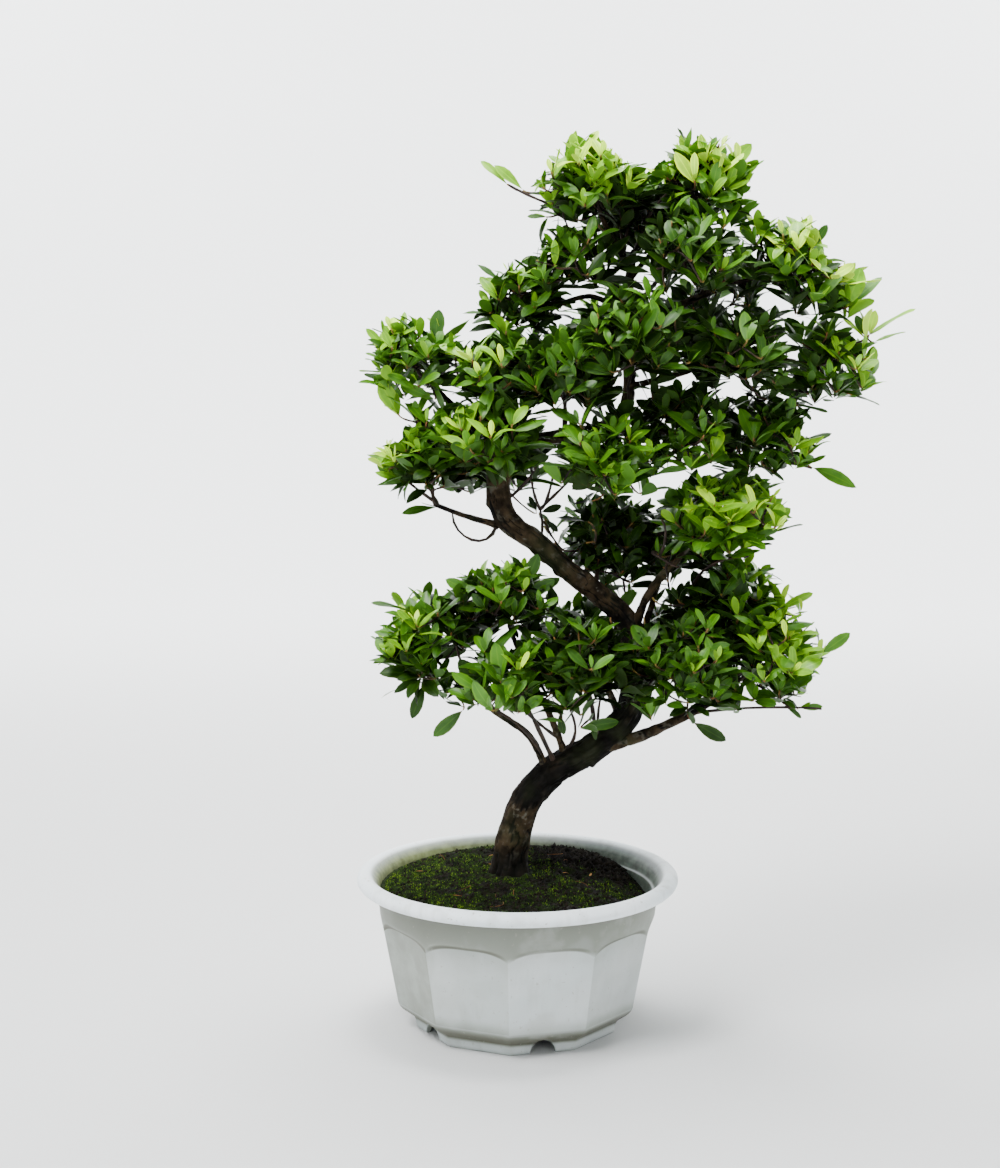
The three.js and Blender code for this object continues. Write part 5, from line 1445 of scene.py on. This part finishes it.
# The soil's surface, as in the CAD: a mound from its edge to the seat by sin(pi s / 2), whose edge
# swells and sinks by a power of the cosine of half the angle from a side, crossing waves that fade
# at both ends, and finer crumbs on it all
def soilHeight(x, y):
    share = moundShare(x, y)
    turn = np.arctan2(y, x)
    bank, bankAngle, bankPower = soil["bank"]
    dip, dipAngle, dipPower = soil["dip"]
    edge = (soil["edge"] + bank * np.cos((turn - bankAngle) / 2) ** bankPower
            - dip * np.cos((turn - dipAngle) / 2) ** dipPower)
    w = soil["lumpWave"]
    waves = np.sin(x / w + 0.8) * np.cos(y / w - 0.4) + 0.5 * np.sin((x - 0.6 * y) / (1.6 * w) + 2)
    fade = np.minimum(1, np.minimum(5 * share, 4 * (1 - share)))
    place = np.stack([x, y, np.zeros_like(x)], axis=-1)
    crumbs = layeredNoise(place / 6.5, 61, 4) * 1.2 + np.abs(layeredNoise(place / 2.6, 71, 2)) * 1.1 - 0.3
    calm = 0.35 + 0.65 * smoothStep(0, 0.05, share)
    return (mix(edge, soil["top"], np.sin(share * math.pi / 2)) + soil["lumpHeight"] * fade * waves
            + soil["crumble"] * crumbs * calm - soil["sunk"])


# The soil's body: rings of the surface, closer towards the middle as share^0.8, a lip down to the
# pot's wall and a narrower floor
def makeSoil():
    ring = np.linspace(1, 0.02, soil["rings"])[:, None] ** 0.8
    angle = np.linspace(0, 2 * math.pi, soil["columns"], endpoint=False)[None, :]
    x = soil["meshRadius"] * ring * np.cos(angle)
    y = soil["meshRadius"] * ring * np.sin(angle)
    top = np.stack([x, y, soilHeight(x, y)], axis=-1)
    edge = top[:1, :, 2] - 0.3
    reach = np.interp(edge, *soil["wall"]) / soil["meshRadius"]
    lip = np.stack([x[:1] * reach, y[:1] * reach, edge], axis=-1)
    under, narrower = soil["floor"]
    floor = np.stack([x[:1] * narrower, y[:1] * narrower, np.full_like(x[:1], under)], axis=-1)
    grid = np.concatenate([floor, lip, top])
    middle = np.array([[0.0, 0.0, float(soilHeight(np.zeros(1), np.zeros(1))[0])]])
    part = closedGrid(grid, [0, 0, under], middle)
    part["moss"] = mossShare(part["points"][:, 0], part["points"][:, 1])
    return part


# Where moss grows: nearly all over, thick at the left and at the right front, and none at the back
# right, where the soil is loose
def mossShare(x, y):
    place = np.stack([x, y, np.zeros_like(x)], axis=-1)
    spread = layeredNoise(place / 15, 81, 3) + 0.9 * layeredNoise(place / 4.0, 91, 2)
    left = 0.55 * smoothStep(5, -45, x)
    right = 0.50 * np.exp(-(((x - 52) / 24) ** 2 + ((y + 8) / 34) ** 2))
    loose = 0.9 * np.exp(-(((x - 48) / 30) ** 2 + ((y - 52) / 22) ** 2))
    return np.clip(0.42 + 0.70 * spread + left + right - loose, 0, 1)


# Moss: upright three-sided leaflets, each a thin pyramid of four faces. One stands where a chance
# is under the moss share to a power, times a level; more stand at the edge in front and at the left.
def makeTufts(count, seed, level, power):
    draw = np.random.RandomState(seed)
    radius = soil["edgeRadius"] * np.sqrt(draw.uniform(0.005, 0.99, count))
    angle = draw.uniform(-math.pi, math.pi, count)
    x, y = radius * np.cos(angle), radius * np.sin(angle)
    clear = np.hypot(x - soil["seat"][0], y - soil["seat"][1]) > soil["tuftGap"]
    brink = 0.7 * smoothStep(0.955, 0.985, radius / soil["edgeRadius"]) * smoothStep(30, -30, y + x * 0.5)
    keep = clear & (draw.uniform(0, 1, count) < mossShare(x, y) ** power * level + brink)
    x, y = x[keep], y[keep]
    count = len(x)
    height = draw.uniform(*soil["tuftHeight"], count)
    foot = np.stack([x, y, soilHeight(x, y) - 0.5], axis=-1)
    lean = draw.normal(0, 0.45, (count, 2))
    tip = foot + np.column_stack([lean * height[:, None], height + 0.5])
    turn = draw.uniform(0, 2 * math.pi, count)
    corners = []
    for k in range(3):
        a = turn + k * 2 * math.pi / 3
        spread = soil["tuftWidth"] * draw.uniform(0.6, 1.2, count)
        corners.append(foot + np.stack([np.cos(a) * spread, np.sin(a) * spread, 0 * a], axis=-1))
    points = np.stack([*corners, tip], axis=1)
    faces = np.array([[0, 2, 1], [0, 1, 3], [1, 2, 3], [2, 0, 3]])
    tris = (faces[None] + (np.arange(count) * 4)[:, None, None]).reshape(-1, 3)
    return {"points": points.reshape(-1, 3), "quads": np.zeros((0, 4), int), "tris": tris}


# Granules: an eight-faced lump with its corners pushed in and out at random, from low to high in
# radius, all over the soil or round a middle
def makeGranules(count, seed, low, high, middle=None, spread=None):
    draw = np.random.RandomState(seed)
    reach = soil["edgeRadius"] - soil["rimGap"]
    radius = reach * np.sqrt(draw.uniform(0.01, 0.99, count))
    angle = draw.uniform(-math.pi, math.pi, count)
    x, y = radius * np.cos(angle), radius * np.sin(angle)
    if middle:
        x, y = draw.normal(middle[0], spread[0], count), draw.normal(middle[1], spread[1], count)
    clear = np.hypot(x - soil["seat"][0], y - soil["seat"][1]) > soil["granuleGap"]
    clear &= np.hypot(x, y) < reach
    x, y = x[clear], y[clear]
    count = len(x)
    size = low + (high - low) * draw.uniform(0, 1, count) ** 2.2
    shape = np.array([[1, 0, 0], [0, 1, 0], [-1, 0, 0], [0, -1, 0], [0, 0, 1], [0, 0, -1]], float)
    jitter = draw.uniform(0.65, 1.25, (count, 6, 1))
    skew = draw.normal(0, 0.22, (count, 6, 3))
    points = (shape[None] + skew) * jitter * size[:, None, None]
    points += np.stack([x, y, soilHeight(x, y) + size * 0.25], axis=-1)[:, None]
    faces = np.array([[0, 1, 4], [1, 2, 4], [2, 3, 4], [3, 0, 4], [1, 0, 5], [2, 1, 5], [3, 2, 5], [0, 3, 5]])
    tris = (faces[None] + (np.arange(count) * 6)[:, None, None]).reshape(-1, 3)
    return {"points": points.reshape(-1, 3), "quads": np.zeros((0, 4), int), "tris": tris}


# Dead leaves and needles of litter: small leaf blades that lie on the soil, a leaf's row each
def makeLitter():
    draw = np.random.RandomState(soil["litterSeed"])
    rows = []
    for _ in range(soil["litter"]):
        radius = soil["edgeRadius"] * math.sqrt(draw.uniform(0.06, 0.90))
        angle, turn = draw.uniform(-math.pi, math.pi), draw.uniform(0, 2 * math.pi)
        x, y = radius * math.cos(angle), radius * math.sin(angle)
        z = float(soilHeight(np.array([x]), np.array([y]))[0]) + draw.uniform(0.9, 1.8)
        along = [math.cos(turn), math.sin(turn), draw.uniform(-0.12, 0.12)]
        side = [-math.sin(turn), math.cos(turn), draw.uniform(-0.3, 0.3)]
        length, width = draw.uniform(3, 9), draw.uniform(0.08, 0.30)
        fold, bend, sway = draw.uniform(-0.2, 0.5), draw.uniform(-0.2, 0.5), draw.uniform(-0.5, 0.5)
        rows.append([x, y, z, *along, *side, length, width, fold, bend, sway, 0, 0, 0, 0])
    return makeLeaves(np.array(rows))


# Rootlets and stalks: thin twigs that arch over the soil between two points on it
def makeRootlets():
    draw = np.random.RandomState(soil["rootletSeed"])
    t = np.array([0, 1 / 3, 2 / 3, 1])[:, None]
    curves = []
    for k in range(soil["rootlets"]):
        middle = soil["rootletsAt"][k % len(soil["rootletsAt"])]
        start = draw.normal(middle, soil["rootletSpread"], 2)
        turn, length = draw.uniform(0, 2 * math.pi), draw.uniform(5, 17)
        bow = draw.normal(0, 0.35, 2) * length
        knots = start + t * length * np.array([math.cos(turn), math.sin(turn)]) + bow * np.sin(math.pi * t)
        lift = soilHeight(knots[:, 0], knots[:, 1]) + np.array([-0.6, 2.6, 2.8, 0.2]) * draw.uniform(0.4, 1.1)
        curves.append(np.column_stack([knots, lift]))
    return makeTwigs(curves, [soil["rootletRadius"]] * len(curves), 5)


# Dark and light colour, patches to a metre, roughness, and for the soil the two where moss grows
earths = {
    "dampSoil": [(0.0012, 0.001, 0.0006, 1), (0.007, 0.0058, 0.003, 1), 190.0, 0.95,
                 (0.003, 0.0075, 0.0006, 1), (0.012, 0.026, 0.0014, 1)],
    "soilGranule": [(0.0025, 0.002, 0.001, 1), (0.014, 0.010, 0.006, 1), 300.0, 0.9],
    "looseSoil": [(0.0015, 0.0012, 0.0008, 1), (0.010, 0.008, 0.005, 1), 220.0, 0.95],
    "mossDark": [(0.0015, 0.0045, 0.0006, 1), (0.012, 0.030, 0.0013, 1), 260.0, 0.9],
    "mossBright": [(0.020, 0.056, 0.002, 1), (0.105, 0.185, 0.005, 1), 200.0, 0.85],
    "dryLitter": [(0.10, 0.035, 0.008, 1), (0.32, 0.15, 0.035, 1), 120.0, 0.8],
    "rootlet": [(0.05, 0.018, 0.005, 1), (0.17, 0.075, 0.022, 1), 120.0, 0.8],
}


# Earth, moss or litter: two colours in patches, and by choice damp greens by the moss share
def makeEarthMaterial(name):
    dark, light, scale, roughness, *greens = earths[name]
    material, tree, surface = newMaterial(name, {"Roughness": roughness, "Specular IOR Level": 0.15})
    place = objectPlace(tree)
    mask, grain = patches(tree, place, scale, 6.0, 0.5, 0.14)
    colour = mixColours(tree, mask, dark, light)
    if greens:
        colour = mixColours(tree, attributeValue(tree, "moss"), colour, mixColours(tree, mask, *greens))
    connect(tree, colour, surface, "Base Color")
    addBump(tree, grain, surface, 0.6, 0.0007)
    return material


addPiece("soilSurface", makeSoil(), makeEarthMaterial("dampSoil"), ["soil"])
addPiece("soilGranules", makeGranules(*soil["granules"]), makeEarthMaterial("soilGranule"))
addPiece("looseSoil", makeGranules(*soil["looseSoil"]), makeEarthMaterial("looseSoil"))
addPiece("mossDark", makeTufts(*soil["darkTufts"]), makeEarthMaterial("mossDark"))
addPiece("mossBright", makeTufts(*soil["brightTufts"]), makeEarthMaterial("mossBright"))
addPiece("soilLitter", makeLitter(), makeEarthMaterial("dryLitter"), (), leafMargins)
addPiece("rootlets", makeRootlets(), makeEarthMaterial("rootlet"))

stage = {
    "floor": (0.72, 0.73, 0.73, 1), "backdrop": (0.90, 0.915, 0.92, 1),
    "radius": 2.3, "bend": 0.7, "wall": 2.4, "columns": 96, "paleFrom": [0.5, 2.4],
    "sky": (0.93, 0.955, 0.97, 1), "skyStrength": 0.22,
}


# The floor and backdrop: a bowl turned about Z, flat to the radius, then a quarter round and an
# upright side
def makeStage():
    turn = np.linspace(0, math.pi / 2, 16)
    radius = np.concatenate([[0.001], [0.6], stage["radius"] + stage["bend"] * np.sin(turn),
                             [stage["radius"] + stage["bend"]]])
    height = np.concatenate([[0, 0], stage["bend"] * (1 - np.cos(turn)), [stage["wall"]]])
    angle = np.linspace(0, 2 * math.pi, stage["columns"], endpoint=False)[None, :]
    grid = np.stack([radius[:, None] * np.cos(angle), radius[:, None] * np.sin(angle),
                     np.broadcast_to(height[:, None], (len(height), stage["columns"]))], axis=-1)
    mesh = bpy.data.meshes.new("studioFloor")
    mesh.from_pydata(grid.reshape(-1, 3).tolist(), [], ringFaces(*grid.shape[:2]).tolist())
    mesh.polygons.foreach_set("use_smooth", np.ones(len(mesh.polygons), bool))
    material, tree, surface = newMaterial("paleFloor", {"Roughness": 0.9, "Specular IOR Level": 0.2})
    away = addNode(tree, "ShaderNodeVectorMath", {"operation": "LENGTH"}, {0: objectPlace(tree)})
    share = softRanged(tree, away.outputs["Value"], *stage["paleFrom"])
    connect(tree, mixColours(tree, share, stage["floor"], stage["backdrop"]), surface, "Base Color")
    mesh.materials.append(material)
    floor = bpy.data.objects.new("studioFloor", mesh)
    bpy.context.scene.collection.objects.link(floor)


# An even sky
def makeWorld():
    world = bpy.data.worlds.new("studioSky")
    world.use_nodes = True
    shade = world.node_tree.nodes["Background"]
    shade.inputs["Color"].default_value = stage["sky"]
    shade.inputs["Strength"].default_value = stage["skyStrength"]
    bpy.context.scene.world = world


lights = {
    "softKey": {"from": (-0.75, -0.85, 1.75), "to": (0.02, 0, 0.28), "size": 0.9, "watts": 50},
    "topLight": {"from": (0.1, 0.25, 1.9), "to": (0.05, 0, 0.3), "size": 1.1, "watts": 57},
    "backdropLeft": {"from": (-1.1, 1.5, 1.9), "to": (-0.5, 3.0, 0.8), "size": 1.2, "watts": 75},
    "backdropRight": {"from": (1.2, 1.5, 1.9), "to": (0.6, 3.0, 0.8), "size": 1.2, "watts": 75},
}


# Round lamps, each turned to the point that it lights
def makeLights():
    for name, values in lights.items():
        lamp = bpy.data.lights.new(name, "AREA")
        lamp.shape = "DISK"
        lamp.size, lamp.energy = values["size"], values["watts"]
        light = bpy.data.objects.new(name, lamp)
        light.location = values["from"]
        way = Vector(values["to"]) - Vector(values["from"])
        light.rotation_euler = way.to_track_quat("-Z", "Y").to_euler()
        bpy.context.scene.collection.objects.link(light)


# The fitted camera: the picture's longer side is as wide as the sensor
def makeCamera():
    lens = bpy.data.cameras.new("photoView")
    lens.sensor_width, lens.sensor_fit = camera["sensor"], "AUTO"
    lens.lens = camera["focal"] * camera["sensor"] / camera["longSide"]
    lens.clip_start, lens.clip_end = 0.05, 50
    view = bpy.data.objects.new("photoView", lens)
    view.location = camera["place"]
    view.rotation_euler = (math.radians(90 - camera["pitch"]), 0, 0)
    bpy.context.scene.collection.objects.link(view)
    bpy.context.scene.camera = view


makeStage()
makeWorld()
makeLights()
makeCamera()
print("stage, lights and camera are set")
